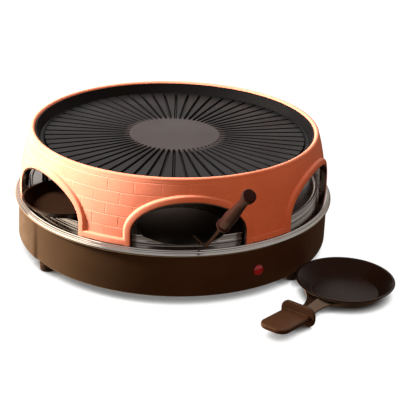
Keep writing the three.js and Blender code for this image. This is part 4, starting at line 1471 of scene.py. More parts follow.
    def clip_skin(self) -> Skin:
        """Gives the strap that holds the upper heater on its carrier.

        Returns:
            The strap, facing outwards.
        """
        low, high = SEAT_GAP, SEAT_GAP + self.sheet
        inner = self.sheath + 2 * SEAT_GAP
        outer = inner + self.sheet
        foot = outer + 6
        middle = SEAT_GAP + self.sheath
        over = arc((0.0, middle), outer, range(0, 181, 12))
        under = arc((0.0, middle), inner, range(180, -1, -12))
        right = [(inner, low), (foot, low), (foot, high), (outer, high)]
        left = [(-across, up) for across, up in reversed(right)]
        strap = plated([*right, *over, *left, *under], 8).moved(Matrix.Translation((0, 0, -4)))
        return strap.moved(UPRIGHT)

    def bushes(self) -> None:
        """Builds the grooved bushes that take the heaters through the tray."""
        bore, waist, flange = 3.85, 5.2, 7.0
        profile = softened(
            [
                (bore, 3.3, 0.4), (bore, -4, 0.3), (waist, -4, 0.4), (waist, SEAT_GAP),
                (flange, SEAT_GAP, 0.3), (flange, 3.3, 0.7),
            ],
            4, closed=True,
        )
        for i, point in enumerate([*self.pins(), *self.legs()]):
            skin = turned(profile, 48).moved(Matrix.Translation((point.x, point.y, WELL_FLOOR)))
            self.bench.lay(f"bush_{i + 1}", skin, CERAMIC, Body.BASE, [f"heater_bush_{i + 1}"])

    def build(self) -> None:
        """Builds the tray, the baking plate and the heaters."""
        self.tray()
        self.baking_plate()
        self.lower_heater()
        self.saddles()
        self.upper_heater()
        self.carrier()
        self.fittings()
        self.bushes()


@dataclass
class Mantle:
    """The terracotta mantle with its brick joints, its arches and their frames, and its liner."""

    bench: Bench
    seat: float = 65.3
    height: float = 86.4
    wall: float = 5.0
    foot_radius: float = 204.5
    straight: float = 11.7
    lean: float = 12.7
    nose: float = 3.2
    ledge_top: float = 68.0
    ledge_reach: float = 7.8
    ledge_thickness: float = 4.5
    arch_count: int = 6
    arch_turn: float = 7.2
    arch_half: float = 70.0
    arch_leg: float = 16.5
    arch_rise: float = 41.5
    leg_share: float = 0.12
    arch_steps: int = 96
    cut_from: float = 140.0
    cut_depth: float = 90.0
    growth: float = 1.5
    frame_width: float = 7.2
    frame_proud: float = 3.5
    frame_root: float = 3.0
    bar_height: float = 7.6
    bar_span: float = 17.2
    bar_steps: int = 24
    course: float = 14.6
    line_count: int = 5
    first_line: float = 20.7
    brick_margin: float = 1.2
    brick_turn: float = 10.0
    brick_start: float = 2.5
    brick_level: float = 60.0
    brick_proud: float = 0.1
    joint_half: float = 0.75
    joint_depth: float = 0.3
    joint_sharpness: float = 1.4
    joint_offsets: tuple[float, ...] = (-1.05, -0.75, -0.38, 0.0, 0.38, 0.75, 1.05)
    # the joints fade on the front's right, away from the key light, and take their partly painted highlight
    # colour with them
    fade_turns: Point2 = (48.0, 26.0)
    fade_span: float = 22.0
    fade_floor: float = 0.25
    wander: float = 0.35
    wander_scale: float = 0.05
    swell: float = 0.25
    swell_scale: float = 0.03
    liner_thickness: float = 1.3
    liner_under: float = 3.0
    liner_growth: float = 0.6
    collar_width: float = 1.2
    collar_proud: float = 2.5

    def radius(self, height: float) -> float:
        """Gives the outer radius at a height above the mantle's foot."""
        share = max(0.0, height - self.straight) / (self.height - self.straight)
        return self.foot_radius - self.lean * share**2

    def arch_point(self, growth: float, share: float) -> Point2:
        """Gives a point on an arch's outline.

        Args:
            growth: how far the outline lies outside the arch.
            share: 0 at its left foot and 1 at its right foot.

        Returns:
            Its place across and up.
        """
        half = self.arch_half + growth
        leg = self.leg_share
        if share < leg:
            return (-half, self.arch_leg * share / leg)
        if share > 1 - leg:
            return (half, self.arch_leg * (1 - share) / leg)
        turn = math.pi * (1 - (share - leg) / (1 - 2 * leg))
        return (half * math.cos(turn), self.arch_leg + (self.arch_rise + growth) * math.sin(turn))

    def framed(self, section: Sequence[Point2], low: float = 0.0) -> Skin:
        """Sweeps a section of growth and outward reach along an arch.

        Args:
            section: the closed section.
            low: how far above the mantle's foot the sweep starts.

        Returns:
            The form at the front arch, before its turn.
        """
        rings = []
        for i in range(self.arch_steps + 1):
            ring = []
            for growth, out in section:
                x, up = self.arch_point(growth, i / self.arch_steps)
                up = max(up, low)
                reach = self.radius(up) + out
                ring.append((x, -math.sqrt(reach**2 - x**2), up + self.seat))
            rings.append(ring)
        return lofted(rings)

    def opening(self, growth: float) -> Skin:
        """Gives the solid that cuts one arch through the wall.

        Args:
            growth: how far it reaches outside the arch.

        Returns:
            The solid at the front arch, before its turn.
        """
        half = self.arch_half + growth
        line = [self.arch_point(growth, i / self.arch_steps) for i in range(self.arch_steps + 1)]
        outline = [(-half, -OVERCUT), *line, (half, -OVERCUT)]
        upright = Matrix.Translation((0, -self.cut_from, self.seat)) @ Matrix.Rotation(math.pi / 2, 4, "X")
        return plated(list(reversed(outline)), self.cut_depth).moved(upright)

    def arches(self) -> list[Matrix]:
        """Gives the turn of each arch."""
        return [at_turn(self.arch_turn + 360 / self.arch_count * i) for i in range(self.arch_count)]

    def brick_top(self) -> float:
        """Gives the height above the mantle's foot where the brickwork ends."""
        return self.first_line + (self.line_count - 1) * self.course + self.brick_margin

    def turn_per_mm(self) -> float:
        """Gives the turn in degrees that goes with a millimetre along the wall."""
        return 1 / math.radians(self.radius(self.brick_level))

    def joint_at(self, turn: float, height: float) -> float:
        """Gives how deep the brick joints are at a place, from 0 to 1.

        Args:
            turn: the turn in degrees.
            height: the height above the first line.

        Returns:
            0 on a brick and 1 at the bottom of a joint.
        """
        course = math.floor(height / self.course)
        from_line = abs(height - round(height / self.course) * self.course)
        offset = self.brick_start + (self.brick_turn / 2 if course % 2 else 0.0)
        share = (turn - offset) / self.brick_turn
        radius = self.radius(self.brick_level)
        near = min(from_line, abs(share - round(share)) * math.radians(self.brick_turn) * radius)
        return max(0.0, 1.0 - near / self.joint_half) ** self.joint_sharpness

    def joint_fade_at(self, turn: float) -> float:
        """Gives how much of the joints' depth and of their pale, partly painted-highlight colour is left;
        both fade on the front's right, away from the key light.

        Args:
            turn: the turn in degrees.

        Returns:
            1 where nothing is worn.
        """
        middle, half = self.fade_turns
        away = abs((turn - middle + 180) % 360 - 180) - half
        share = min(max(away / self.fade_span, 0.0), 1.0)
        return self.fade_floor + (1 - self.fade_floor) * share * share * (3 - 2 * share)

    def wall_heights(self) -> list[float]:
        """Gives the heights of the outside's rows, which lie close together at each line of joints.

        Returns:
            The heights above the mantle's foot.
        """
        heights = [0.0, 6.0]
        for k in range(-1, self.line_count):
            line = self.first_line + k * self.course
            heights += [line + offset for offset in self.joint_offsets]
            if k < self.line_count - 1:
                heights += [line + self.course * share for share in (0.25, 0.5, 0.75)]
        heights = sorted(height for height in heights if 0.0 <= height <= self.brick_top())
        rise = self.height - self.nose - heights[-1]
        return heights + [heights[-1] + rise * k / 4 for k in range(1, 5)]

    def wall_turns(self) -> list[float]:
        """Gives the turns of the columns, which lie close together at each upright joint.

        Returns:
            The turns in degrees.
        """
        half_brick = self.brick_turn / 2
        joints = [half_brick * k + self.brick_start for k in range(round(360 / half_brick))]
        degree = self.turn_per_mm()
        near = {round(joint + offset * degree, 5) for joint in joints for offset in self.joint_offsets}
        between = {round(joint + half_brick * share, 5) for joint in joints for share in (0.35, 0.65)}
        return sorted(near | between)

    def inner_rows(self) -> list[Point2]:
        """Gives the radius and height of the rows over the nose, round the ledge and down the inside.

        Returns:
            Each row's radius and height.
        """
        nose_height = self.height - self.nose
        nose_centre = self.radius(nose_height) - self.nose
        pocket = nose_centre - self.nose
        ledge = pocket - self.ledge_reach
        under = self.ledge_top - self.ledge_thickness
        rows = arc((nose_centre, nose_height), self.nose, range(12, 181, 12))
        rows += [(pocket, self.ledge_top), (ledge, self.ledge_top), (ledge, under)]
        inner = [under * (1 - k / 10) for k in range(11)]
        return rows + [(self.radius(up) - self.wall, up) for up in inner]

    def wall_corner(self, turn: float, up: float) -> tuple[Vector, float]:
        """Gives a corner of the wall's outside, with the slight unevenness of hand-set bricks.

        Args:
            turn: its turn in degrees.
            up: its height above the mantle's foot.

        Returns:
            The corner, and how deep it lies in a joint, from 0 to 1.
        """
        spot = point_at(turn, self.radius(up), up)
        wander = noise.noise_vector(spot * self.wander_scale) * self.wander
        swell = self.swell * noise.noise(spot * self.swell_scale)
        aside = turn + wander.x * self.turn_per_mm()
        if up >= self.brick_top():
            return point_at(aside, self.radius(up) + swell, up), 0.0
        # this depth also sets the joint value, so the joints' painted highlight fades with it
        depth = self.joint_at(turn, up - self.first_line) * self.joint_fade_at(turn)
        course = math.floor((up - self.first_line) / self.course)
        brick = math.floor((turn - self.brick_start) / self.brick_turn + (0.5 if course % 2 else 0.0))
        proud = self.brick_proud * noise.noise(Vector((brick * 3.7, course * 5.3, 0.5))) * (1 - depth)
        out = self.radius(up) - self.joint_depth * depth + proud + swell
        lift = wander.z if up > 8 else 0.0
        return point_at(aside, out, up + lift), depth

    def wall_skin(self) -> Skin:
        """Gives the wall with its joints, nose, pocket and ledge.

        Returns:
            The whole wall, before its arches are cut.
        """
        heights, rest, turns = self.wall_heights(), self.inner_rows(), self.wall_turns()
        outside = [self.wall_corner(turn, up) for up in heights for turn in turns]
        inside = [(point_at(turn, out, up), 0.0) for out, up in rest for turn in turns]
        rows, columns = len(heights) + len(rest), len(turns)
        faces = []
        for r in range(rows):
            low, high = r * columns, ((r + 1) % rows) * columns
            for c in range(columns):
                d = (c + 1) % columns
                faces.append((low + c, low + d, high + d, high + c))
        corners = np.array([list(corner) for corner, _ in outside + inside])
        joints = np.array([depth for _, depth in outside + inside])
        return Skin(corners, faces, joints).moved(Matrix.Translation((0, 0, self.seat)))

    def frame_skin(self) -> Skin:
        """Gives the moulding round one arch.

        Returns:
            The moulding at the front arch, before its turn.
        """
        near, far = self.growth, self.growth + self.frame_width
        root = 0.1 - self.wall
        section = softened(
            [
                (near, root, 0.3), (near, self.frame_proud, 0.9), (far, self.frame_proud, 2.0),
                (far + 1.0, -0.6, 0.8), (far + 1.0, -2.0), (near + 4.5, root),
            ],
            5, closed=True,
        )
        return self.framed(section)

    def bar_skin(self) -> Skin:
        """Gives the bar along the foot between two arches.

        Returns:
            The bar right of the front arch, before its turn.
        """
        top, root = self.bar_height, -4.6
        section = softened(
            [
                (0.0, root), (0.0, self.frame_proud, 0.5), (top, self.frame_proud, 1.9),
                (top + 0.8, -0.6, 0.6), (top + 0.8, root),
            ],
            5, closed=True,
        )
        start = 180 / self.arch_count - self.bar_span / 2
        rings = []
        for k in range(self.bar_steps + 1):
            turn = start + self.bar_span * k / self.bar_steps
            rings.append([point_at(turn, self.radius(up) + out, up + self.seat) for up, out in section])
        return lofted(rings)

    def shell(self) -> None:
        """Builds the wall, the moulding round each arch and the bar along each foot."""
        shell = self.bench.raw("mantle_shell", self.wall_skin())
        places = self.arches()
        cut = self.opening(self.growth + self.frame_root)
        frame_skin, bar_skin = self.frame_skin(), self.bar_skin()
        self.bench.worked(shell, Work.CUT, [cut.moved(place) for place in places])
        self.bench.worked(shell, Work.JOIN, [frame_skin.moved(place) for place in places])
        self.bench.worked(shell, Work.JOIN, [bar_skin.moved(place) for place in places])
        self.bench.dress(shell, TERRACOTTA, Body.MANTLE, ["mantle"])

    def liner(self) -> None:
        """Builds the dark liner with a collar through each arch."""
        top = self.ledge_top - self.ledge_thickness - self.liner_under
        outer, inner = -(self.wall + SEAT_GAP), -(self.wall + SEAT_GAP + self.liner_thickness)
        heights = [SEAT_GAP + (top - SEAT_GAP) * k / 10 for k in range(11)]
        profile = [(self.radius(up) + outer, up + self.seat) for up in heights]
        profile += [(self.radius(up) + inner, up + self.seat) for up in reversed(heights)]
        liner = self.bench.raw("liner_sleeve", turned(profile, 240))
        places = self.arches()
        cut = self.opening(self.liner_growth)
        self.bench.worked(liner, Work.CUT, [cut.moved(place) for place in places])
        wide, proud = self.collar_width, self.collar_proud
        section = softened([(0, inner), (wide, inner), (wide, proud, 0.5), (0, proud, 0.5)], 4, closed=True)
        collar = self.framed(section, SEAT_GAP)
        self.bench.worked(liner, Work.JOIN, [collar.moved(place) for place in places])
        self.bench.dress(liner, ENAMEL, Body.MANTLE, ["mantle_liner"])

    def build(self) -> None:
        """Builds the mantle and its liner."""
        self.shell()
        self.liner()


@dataclass
class GrillPlate:
    """The cast plate with radial grooves round a smooth centre and a raised rim."""

    bench: Bench
    seat: float = 133.6
    rim: float = 186.16
    rim_height: float = 16.0
    rim_floor: float = 1.2
    shoulder: float = 177.86
    under: float = -3.6
    rib_top: float = 5.0
    rib_edge: float = 174.76
    groove_count: int = 60
    groove_turn: float = 1.2
    groove_half: float = 1.6
    groove_depth: float = 4.0
    groove_start: float = 60.0
    groove_top: float = 0.5
    groove_slope: float = 1.15
    across: tuple[float, ...] = (-2.1, -1.6, -1.15, -0.7, 0.0, 0.7, 1.15, 1.6, 2.1)

    def groove_at(self, out: float, aside: float) -> float:
        """Gives how deep the grooves are at a place.

        Args:
            out: its distance from the axis.
            aside: its distance from the groove's middle line.

        Returns:
            The depth, which eases out over the groove's slope and its round inner end.
        """
        end = self.groove_start + self.groove_half
        near = math.hypot(out - end, aside) if out < end else abs(aside)
        share = max(0.0, min(1.0, (self.groove_half + self.groove_top - near) / self.groove_slope))
        return self.groove_depth * share * share * (3 - 2 * share)

    def columns(self, out: float) -> list[tuple[float, float]]:
        """Gives the columns of a row.

        Args:
            out: the row's distance from the axis.

        Returns:
            Each column's turn and its distance from the middle of its groove.
        """
        pitch = 360 / self.groove_count
        reach = max(min(out, self.rib_edge), self.groove_start - 2)
        result = []
        for i in range(self.groove_count):
            middle = self.groove_turn + i * pitch
            for aside in self.across:
                result.append((middle + math.degrees(aside / reach), aside))
            edge = math.degrees(self.across[-1] / reach)
            for share in (1 / 4, 1 / 2, 3 / 4):
                turn = edge + (pitch - 2 * edge) * share
                result.append((middle + turn, math.radians(min(turn, pitch - turn)) * reach))
        return result

    def rows(self) -> list[tuple[float, float, bool]]:
        """Gives each row's radius and height, from the middle over the rim, and whether grooves cross it.

        Returns:
            Each row's radius, height and whether grooves cross it.
        """
        start, end = 68, self.rib_edge - 3.4
        outs = [12, 24, 36, 46, 53, *(57.0 + 0.45 * k for k in range(14)), 65, start]
        outs += [start + (end - start) * k / 14 for k in range(1, 15)]
        rows = [(out, self.rib_top, True) for out in outs]
        edge, floor, height = self.rib_edge, self.rim_floor, self.rim_height
        shoulder = softened(
            [
                (edge - 3.0, self.rib_top), (edge - 1.0, self.rib_top, 0.8), (edge, floor, 1.0),
                (179.6, floor, 3.0), (184.2, 14.6, 1.2), (184.5, height, 0.8), (self.rim, height, 0.8),
                (self.rim, 0.0, 0.4), (self.shoulder, 0.0), (self.shoulder, self.under, 0.5),
                (150.0, self.under),
            ],
            5,
        )
        rows += [(out, up, out < edge + 0.4 and up > 1.0) for out, up in shoulder]
        return rows + [(out, self.under, False) for out in (110, 70, 30)]

    def skin(self) -> Skin:
        """Gives the whole plate.

        Returns:
            The closed form.
        """
        rows = self.rows()
        corners: list[Vector] = []
        for out, up, grooved in rows:
            for turn, aside in self.columns(out):
                depth = self.groove_at(out, aside) if grooved else 0.0
                corners.append(point_at(turn, out, max(up - depth, min(up, 1.0))))
        columns = len(self.columns(self.groove_start))
        faces: list[tuple[int, ...]] = []
        for r in range(len(rows) - 1):
            low, high = r * columns, (r + 1) * columns
            for c in range(columns):
                d = (c + 1) % columns
                faces.append((low + c, high + c, high + d, low + d))
        top, bottom = len(corners), len(corners) + 1
        corners += [Vector((0, 0, self.rib_top)), Vector((0, 0, self.under))]
        last = (len(rows) - 1) * columns
        for c in range(columns):
            d = (c + 1) % columns
            faces.append((top, c, d))
            faces.append((bottom, last + d, last + c))
        lift = Matrix.Translation((0, 0, self.seat))
        return Skin(np.array([list(corner) for corner in corners]), faces).moved(lift)

    def build(self) -> None:
        """Builds the plate."""
        self.bench.lay("ribbed_plate", self.skin(), PLATE_COAT, Body.GRILL_PLATE, ["grill_plate"], smooth=48)


def dish_profile(floor: float, rim: float, height: float, wall: float) -> list[Point2]:
    """Gives a round dish's profile with a soft corner and a turned rim.

    Args:
        floor: the radius of the flat floor.
        rim: the radius over the rim.
        height: the height of the rim.
        wall: the sheet's thickness.

    Returns:
        The profile, on z = 0.
    """
    return softened(
        [
            (0, 0), (floor - 0.6, 0, 4.5), (rim - 1.4, height - 1.5, 0.8), (rim, height - 1.1, 0.45),
            (rim - 0.2, height, 0.5), (rim - 2.9, height - 0.2, 1.0), (floor - 1.2, wall, 3.4),
            (0, wall),
        ],
        6,
    )


@dataclass
class ArchDish:
    """The small dish in the left arch."""

    bench: Bench
    turn: float = -51.0
    place: float = 171.0
    floor: float = 46.0
    rim: float = 57.5
    height: float = 12.2
    wall: float = 1.5

    def build(self) -> None:
        """Builds the dish."""
        skin = turned(dish_profile(self.floor, self.rim, self.height, self.wall), 144)
        spot = at_turn(self.turn, self.place, BAKING_TOP + SEAT_GAP)
        self.bench.lay("small_dish", skin.moved(spot), DISH_COAT, Body.ARCH_DISH, ["arch_dish"])


@dataclass
class Spatula:
    """The spatula in the front arch: a round blade, a bent rod and a turned grip."""

    bench: Bench
    turn: float = 5.2
    ring: float = 165.0
    swing: float = 26.1
    blade_radius: float = 56.0
    blade: float = 1.2
    rod: float = 2.2
    rod_on_blade: float = 18.0
    overhang: float = 13.0
    tilt: float = 46.1
    reach: float = 62.5
    tang: float = 24.0
    grip_length: float = 86.0

    def place(self) -> Matrix:
        """Gives where the spatula lies."""
        middle = point_at(self.turn, self.ring, BAKING_TOP + SEAT_GAP)
        return Matrix.Translation(middle) @ Matrix.Rotation(math.radians(self.swing), 4, "Z")

    def rod_line(self) -> list[Vector]:
        """Gives the rod's middle line.

        Returns:
            The points, from the blade to the end in the grip.
        """
        level = self.blade + SEAT_GAP + self.rod
        tilt = math.radians(self.tilt)
        out = self.blade_radius + self.overhang

        def rise(along: float) -> Vector:
            """Gives a point this far up the rod."""
            return Vector((0, -out - along * math.cos(tilt), level + along * math.sin(tilt)))

        bend = 2 * self.rod
        return smoothed(
            [
                Vector((0, self.rod_on_blade - self.blade_radius, level)),
                Vector((0, -self.blade_radius, level)),
                Vector((0, bend - out, level)),
                Vector((0, self.rod - out, level + self.rod / 4)),
                rise(bend / 2), rise(bend), rise(self.reach / 2), rise(self.reach),
                rise(self.reach + self.tang),
            ],
            6,
        )

    def grip_profile(self) -> list[Point2]:
        """Gives the turned grip's profile with its blind bore for the rod, from axis to axis.

        Returns:
            The closed profile.
        """
        bore, hollow, end = self.rod + SEAT_GAP, self.tang + SEAT_GAP, self.grip_length
        profile = softened(
            [
                (bore, 0, 0.4), (8.8, 0, 1.0), (8.8, 3.4, 1.0), (6.9, 3.9, 0.5), (6.9, 5.2, 0.5),
                (7.6, 6.0, 0.8), (8.0, 24.0, 30), (5.3, 64.0, 24), (5.3, 75.0, 2.6), (8.2, 78.4, 1.6),
                (8.2, end, 1.8), (0, end), (0, hollow), (bore, hollow),
            ],
            8, closed=True,
        )
        start = next(i for i, point in enumerate(profile) if point[0] == 0)
        return [*profile[start + 1 :], *profile[: start + 1]]

    def build(self) -> None:
        """Builds the blade, the rod and the grip."""
        place = self.place()
        radius, thick, edge = self.blade_radius, self.blade, 0.35
        disc = softened([(0, 0), (radius, 0, edge), (radius, thick, edge), (0, thick)], 3)
        blade = turned(disc, 144).moved(place)
        self.bench.lay("spatula_disc", blade, BAR_STEEL, Body.SPATULA, ["spatula_blade"])
        rod = swept(self.rod_line(), round_section(self.rod, 24)).moved(place)
        self.bench.lay("spatula_wire", rod, ROD_STEEL, Body.SPATULA, ["spatula_rod"], smooth=50)
        tilt = math.radians(self.tilt)
        along = -self.blade_radius - self.overhang - self.reach * math.cos(tilt)
        level = self.blade + SEAT_GAP + self.rod + self.reach * math.sin(tilt)
        seat = place @ Matrix.Translation((0, along, level)) @ Matrix.Rotation(math.pi / 2 - tilt, 4, "X")
        grip = turned(self.grip_profile(), 64).moved(seat)
        self.bench.lay("spatula_handle", grip, HANDLE_PLASTIC, Body.SPATULA, ["spatula_grip"])


@dataclass
class TablePan:
    """The pan on the table: a dish, a folded shank and a grip with an upright shield."""

    bench: Bench
    stand: Point3 = (224.3, -155.3, TABLE_LEVEL)
    turn: float = -37.0
    rim: float = 63.0
    rim_inset: float = 0.05
    floor: float = 44.0
    height: float = 19.0
    wall: float = 1.5
    shank_sheet: float = 1.9
    shank_start: float = 13.0
    shank_length: float = 42.0
    shank_run: float = 14.0
    shank_drop: float = 4.6
    root_half: float = 30.0
    tip_half: float = 10.5
    root_ridge: float = 3.0
    tip_ridge: float = 7.0
    end_ridge: float = 0.4
    crest_blunt: float = 0.06
    shank_steps: int = 30
    across_steps: int = 20
    tang_size: Point3 = (12.0, 34.0, 2.0)
    shield_size: Point3 = (48.0, 26.0, 4.0)
    shield_level: float = 13.0
    tongue_half: float = 19.0
    tongue_thickness: float = 6.4
    tongue_level: float = 11.6
    tongue_length: float = 59.0
    tongue_rise: float = 5.0
    bead_half: float = 16.0

    def place(self) -> Matrix:
        """Gives where the pan stands."""
        return Matrix.Translation(self.stand) @ Matrix.Rotation(math.radians(self.turn), 4, "Z")

    def risen(self) -> Matrix:
        """Gives the tilt of the tang and the tongue about the end of the shank.

        Returns:
            The tilt.
        """
        hinge = Vector((0, -(self.rim + self.shank_length), self.tongue_level))
        tilt = Matrix.Rotation(-math.atan(self.tongue_rise / self.tongue_length), 4, "X")
        return Matrix.Translation(hinge) @ tilt @ Matrix.Translation(-hinge)

    def dish(self) -> None:
        """Builds the dish."""
        profile = dish_profile(self.floor, self.rim - self.rim_inset, self.height, self.wall)
        skin = turned(profile, 160).moved(self.place())
        self.bench.lay("pan_bowl", skin, DISH_COAT, Body.TABLE_PAN, ["pan_dish"])

    def shank_ring(self, along: float) -> list[Point3]:
        """Gives one section of the folded shank.

        Args:
            along: its distance from the pan's axis.

        Returns:
            The section's points, along its underside and back along its top.
        """
        start, end = self.rim - self.shank_start, self.rim + self.shank_length
        root_level = self.height - self.wall - SEAT_GAP - self.shank_sheet - self.root_ridge
        tip_level = self.tongue_level - 1 - self.shank_drop
        share = min(1.0, (along - start) / (end - self.shank_run - start))
        run = max(0.0, (along - end + self.shank_run) / self.shank_run)
        ease = run * run * (3 - 2 * run)
        half = self.tip_half + (self.root_half - self.tip_half) * (1 - share) ** 3
        level = root_level + (tip_level - root_level) * share + self.shank_drop * ease
        ridge = self.root_ridge + (self.tip_ridge - self.root_ridge) * share
        ridge += (self.end_ridge - ridge) * ease
        blunt = self.crest_blunt
        across = [-1 + 2 * i / self.across_steps for i in range(self.across_steps + 1)]
        crest = [max(ridge * (1 + blunt - (a * a + blunt**2) ** 0.5), 0.0) for a in across]
        ring = [(a * half, -along, level + lift) for a, lift in zip(across, crest)]
        top = level + self.shank_sheet
        ring += [(a * half, -along, top + lift) for a, lift in zip(reversed(across), reversed(crest))]
        return ring

    def shank(self) -> None:
        """Builds the folded shank, fitted round the dish, and its tang."""
        start, end = self.rim - self.shank_start, self.rim + self.shank_length
        steps = self.shank_steps
        rings = [self.shank_ring(start + (end - start) * k / steps) for k in range(steps + 1)]
        sheet = self.bench.raw("pan_neck", lofted(rings).moved(self.place()))
        floor, rim, under = self.floor + PASS_GAP, self.rim + PASS_GAP, self.height - self.wall
        top = self.height + OVERCUT
        profile = [(0, -OVERCUT), (floor, -OVERCUT), (floor, 0), (self.rim - 0.7, under)]
        profile += [(rim, under), (rim, top), (0, top)]
        self.bench.worked(sheet, Work.CUT, [turned(profile, 96).moved(self.place())])
        seat = self.risen() @ Matrix.Translation((0, -(end + 13), self.tongue_level - 1))
        tang = block(*self.tang_size, 0.3).moved(seat)
        self.bench.worked(sheet, Work.JOIN, [tang.moved(self.place())])
        self.bench.dress(sheet, SHANK_STEEL, Body.TABLE_PAN, ["pan_shank"])

    def grip(self) -> None:
        """Builds the grip with its shield, tongue and bead."""
        face = self.rim + self.shank_length + SEAT_GAP
        upright = Matrix.Translation((0, -face, self.shield_level)) @ Matrix.Rotation(math.pi / 2, 4, "X")
        width, height, thick = self.shield_size
        shield = plated(rounded_outline(width, height, 11, 12), thick, 1.3, 5).moved(upright)
        half, thick = self.tongue_half, self.tongue_thickness
        outline = softened([(half, -60, 13), (half, 2), (-half, 2), (-half, -60, 13)], 14, closed=True)
        seat = self.risen() @ Matrix.Translation((0, -(face + 3), self.tongue_level - thick / 2))
        tongue = plated(outline, thick, 2.2, 6).moved(seat)
        wide, top = self.bead_half, self.tongue_level + 3.3
        bead_line = [Vector((-wide + 2 * wide * k / 12, -(face + 4.6), top)) for k in range(13)]
        bead = swept(bead_line, round_section(0.9, 12)).moved(self.risen())
        place = self.place()
        grip = self.bench.raw("pan_handle", tongue.moved(place))
        self.bench.worked(grip, Work.JOIN, [shield.moved(place), bead.moved(place)])
        slot_place = self.risen() @ Matrix.Translation((0, -face, self.tongue_level - 1 - SEAT_GAP))
        slot = block(12.6, 60.6, 2.6, 0.2).moved(slot_place)
        self.bench.worked(grip, Work.CUT, [slot.moved(place)])
        self.bench.dress(grip, GRIP_PLASTIC, Body.TABLE_PAN, ["pan_grip"])

    def build(self) -> None:
        """Builds the pan."""
        self.dish()
        self.shank()
        self.grip()


@dataclass(frozen=True)
class Lamp:
    """A soft light: its place, aim and size in metres, its power in watts and its colour on a screen."""

    name: str
    place: Point3
    aim: Point3
    size: Point2
    power: float
    tint: Colour
    mirrored: bool = True

    def hang(self) -> None:
        """Hangs the light, which shiny surfaces only show if it is mirrored."""
        lamp = bpy.data.lights.new(self.name, "AREA")
        lamp.shape = "RECTANGLE"
        lamp.size, lamp.size_y = self.size
        lamp.energy = self.power
        lamp.color = linear(self.tint)[:3]
        holder = bpy.data.objects.new(self.name, lamp)
        holder.location = self.place
        holder.rotation_euler = (Vector(self.aim) - Vector(self.place)).to_track_quat("-Z", "Y").to_euler()
        holder.visible_glossy = self.mirrored
        bpy.context.scene.collection.objects.link(holder)


LAMPS = (
    Lamp("key", (-1.6, 0.02, 0.95), (0, 0, 0.08), (0.4, 0.5), 262, (255, 248, 242), mirrored=False),
    Lamp("sheen", (-1.9, -0.2, 0.75), (0, 0, 0.08), (2.4, 1.6), 24, (255, 240, 218)),
    Lamp("behind", (-0.3, 2.0, 1.05), (0, 0, 0.14), (2.4, 1.0), 2, (255, 246, 240)),
    Lamp("above", (0.0, 0.7, 2.1), (0, 0, 0.1), (1.6, 0.8), 45, (255, 240, 225), mirrored=False),
    Lamp("fill", (0.9, -2.2, 1.1), (0, 0, 0.05), (1.6, 1.2), 37, (255, 172, 116), mirrored=False),
)


@dataclass(frozen=True)
class Room:
    """The pale room round the grill.

    The camera sees it white, and matt surfaces get little light from it. In shiny surfaces it is bright
    above the horizon and dark below, apart from the left, where it brightens towards the back. The ranges
    are parts of a ray's direction.
    """

    low_tint: Colour = (255, 206, 164)
    high_tint: Colour = (250, 247, 244)
    horizon: Point2 = (-0.1, 0.2)
    left: Point2 = (-0.3, 0.1)
    back: Point2 = (-0.5, 0.7)
    back_glow: Point2 = (0.1, 1.6)
    low_glow: float = 0.1
    high_glow: float = 0.55
    matt_glow: float = 0.09
    seen_glow: float = 1.0

    def build(self) -> None:
        """Sets the room as the scene's world."""
        world = bpy.data.worlds.new("pale_room")
        world.use_nodes = True
        nodes = Nodes(world.node_tree)
        sky = nodes.tree.nodes["Background"]
        axes = nodes.add("ShaderNodeSeparateXYZ")
        nodes.join(nodes.add("ShaderNodeTexCoord").outputs["Generated"], axes.inputs["Vector"])
        rays = nodes.add("ShaderNodeLightPath").outputs
        rise = nodes.between(axes.outputs["Z"], self.horizon, (0.0, 1.0), smooth=True)
        left = nodes.between(axes.outputs["X"], self.left, (1.0, 0.0), smooth=True)
        back = nodes.between(axes.outputs["Y"], self.back, self.back_glow, smooth=True)
        tint = nodes.blend(rise, self.low_tint, self.high_tint)
        low = nodes.weigh(left, self.low_glow, back)
        mirrored = nodes.weigh(rise, low, self.high_glow)
        lit = nodes.weigh(rays["Is Glossy Ray"], self.matt_glow, mirrored)
        nodes.join(nodes.blend(rays["Is Camera Ray"], tint, WHITE), sky.inputs["Color"])
        nodes.join(nodes.weigh(rays["Is Camera Ray"], lit, self.seen_glow), sky.inputs["Strength"])
        bpy.context.scene.world = world


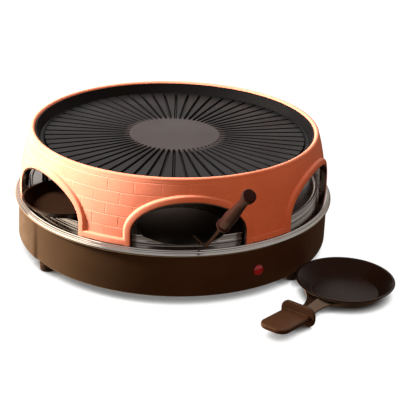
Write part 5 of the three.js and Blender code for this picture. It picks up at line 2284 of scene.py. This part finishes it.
@dataclass
class Studio:
    """A pale floor, soft lights, the room and the camera."""

    distance: float = 1650.2
    elevation: float = 23.22
    roll: float = 1.98
    aim: Point3 = (36.7, 0.0, 42.6)
    lens: float = 108.0
    sensor: float = 36.0
    sight: float = 60.0
    floor_reach: float = 12.0
    floor_tints: tuple[Colour, Colour] = ((40, 38, 36), (44, 42, 40))
    floor_cloud: Layer = Layer(3.0, 2.0)
    shade_reach: float = 0.019
    shade_range: Point2 = (0.12, 0.62)

    def floor_material(self) -> bpy.types.Material:
        """Gives the floor's material: pale by its own glow, and shaded only close to what stands on it.

        Returns:
            The material.
        """
        recipe = Recipe("studio_floor")
        recipe.colour(recipe.blend(recipe.noise(self.floor_cloud), *self.floor_tints))
        shade = recipe.add("ShaderNodeAmbientOcclusion", samples=16)
        shade.inputs["Distance"].default_value = self.shade_reach
        glow = recipe.between(shade.outputs["AO"], self.shade_range, (0.0, 1.0))
        recipe.join(recipe.product(glow, glow), recipe.shader.inputs["Emission Strength"])
        recipe.fixed(Roughness=1.0, Specular_IOR_Level=0.0)
        recipe.shader.inputs["Emission Color"].default_value = linear(WHITE)
        return recipe.material

    def floor(self) -> None:
        """Lays the floor, which neither lights nor darkens the grill."""
        reach, level = self.floor_reach, TABLE_LEVEL * MM
        corners = ((-reach, -reach), (reach, -reach), (reach, reach), (-reach, reach))
        mesh = bpy.data.meshes.new("floor")
        mesh.from_pydata([(x, y, level) for x, y in corners], [], [(0, 1, 2, 3)])
        mesh.materials.append(self.floor_material())
        plane = bpy.data.objects.new("floor", mesh)
        plane.visible_glossy = False
        plane.visible_diffuse = False
        plane.visible_shadow = False
        bpy.context.scene.collection.objects.link(plane)

    def camera(self) -> None:
        """Sets the camera at the photograph's viewing angle."""
        tilt, roll = math.radians(self.elevation), math.radians(self.roll)
        ahead = Vector((0, math.cos(tilt), -math.sin(tilt)))
        side = Vector((1, 0, 0))
        up = side.cross(ahead)
        right = side * math.cos(roll) + up * math.sin(roll)
        top = up * math.cos(roll) - side * math.sin(roll)
        data = bpy.data.cameras.new("camera")
        data.lens = self.lens
        data.sensor_width = self.sensor
        data.clip_end = self.sight
        holder = bpy.data.objects.new("camera", data)
        turn = Matrix((right, top, -ahead)).transposed().to_4x4()
        place = (Vector(self.aim) - ahead * self.distance) * MM
        holder.matrix_world = Matrix.Translation(place) @ turn
        bpy.context.scene.collection.objects.link(holder)
        bpy.context.scene.camera = holder

    def build(self) -> None:
        """Sets the whole studio."""
        bpy.context.scene.view_settings.view_transform = "Standard"
        self.floor()
        for lamp in LAMPS:
            lamp.hang()
        Room().build()
        self.camera()


def main() -> None:
    """Builds the studio and every sub-assembly in order."""
    logging.basicConfig(level=logging.INFO, format="%(message)s")
    Studio().build()
    bench = Bench()
    Base(bench).build()
    Hearth(bench).build()
    Mantle(bench).build()
    GrillPlate(bench).build()
    ArchDish(bench).build()
    Spatula(bench).build()
    TablePan(bench).build()
    log.info("%d pieces", bench.count)


if __name__ == "__main__":
    main()
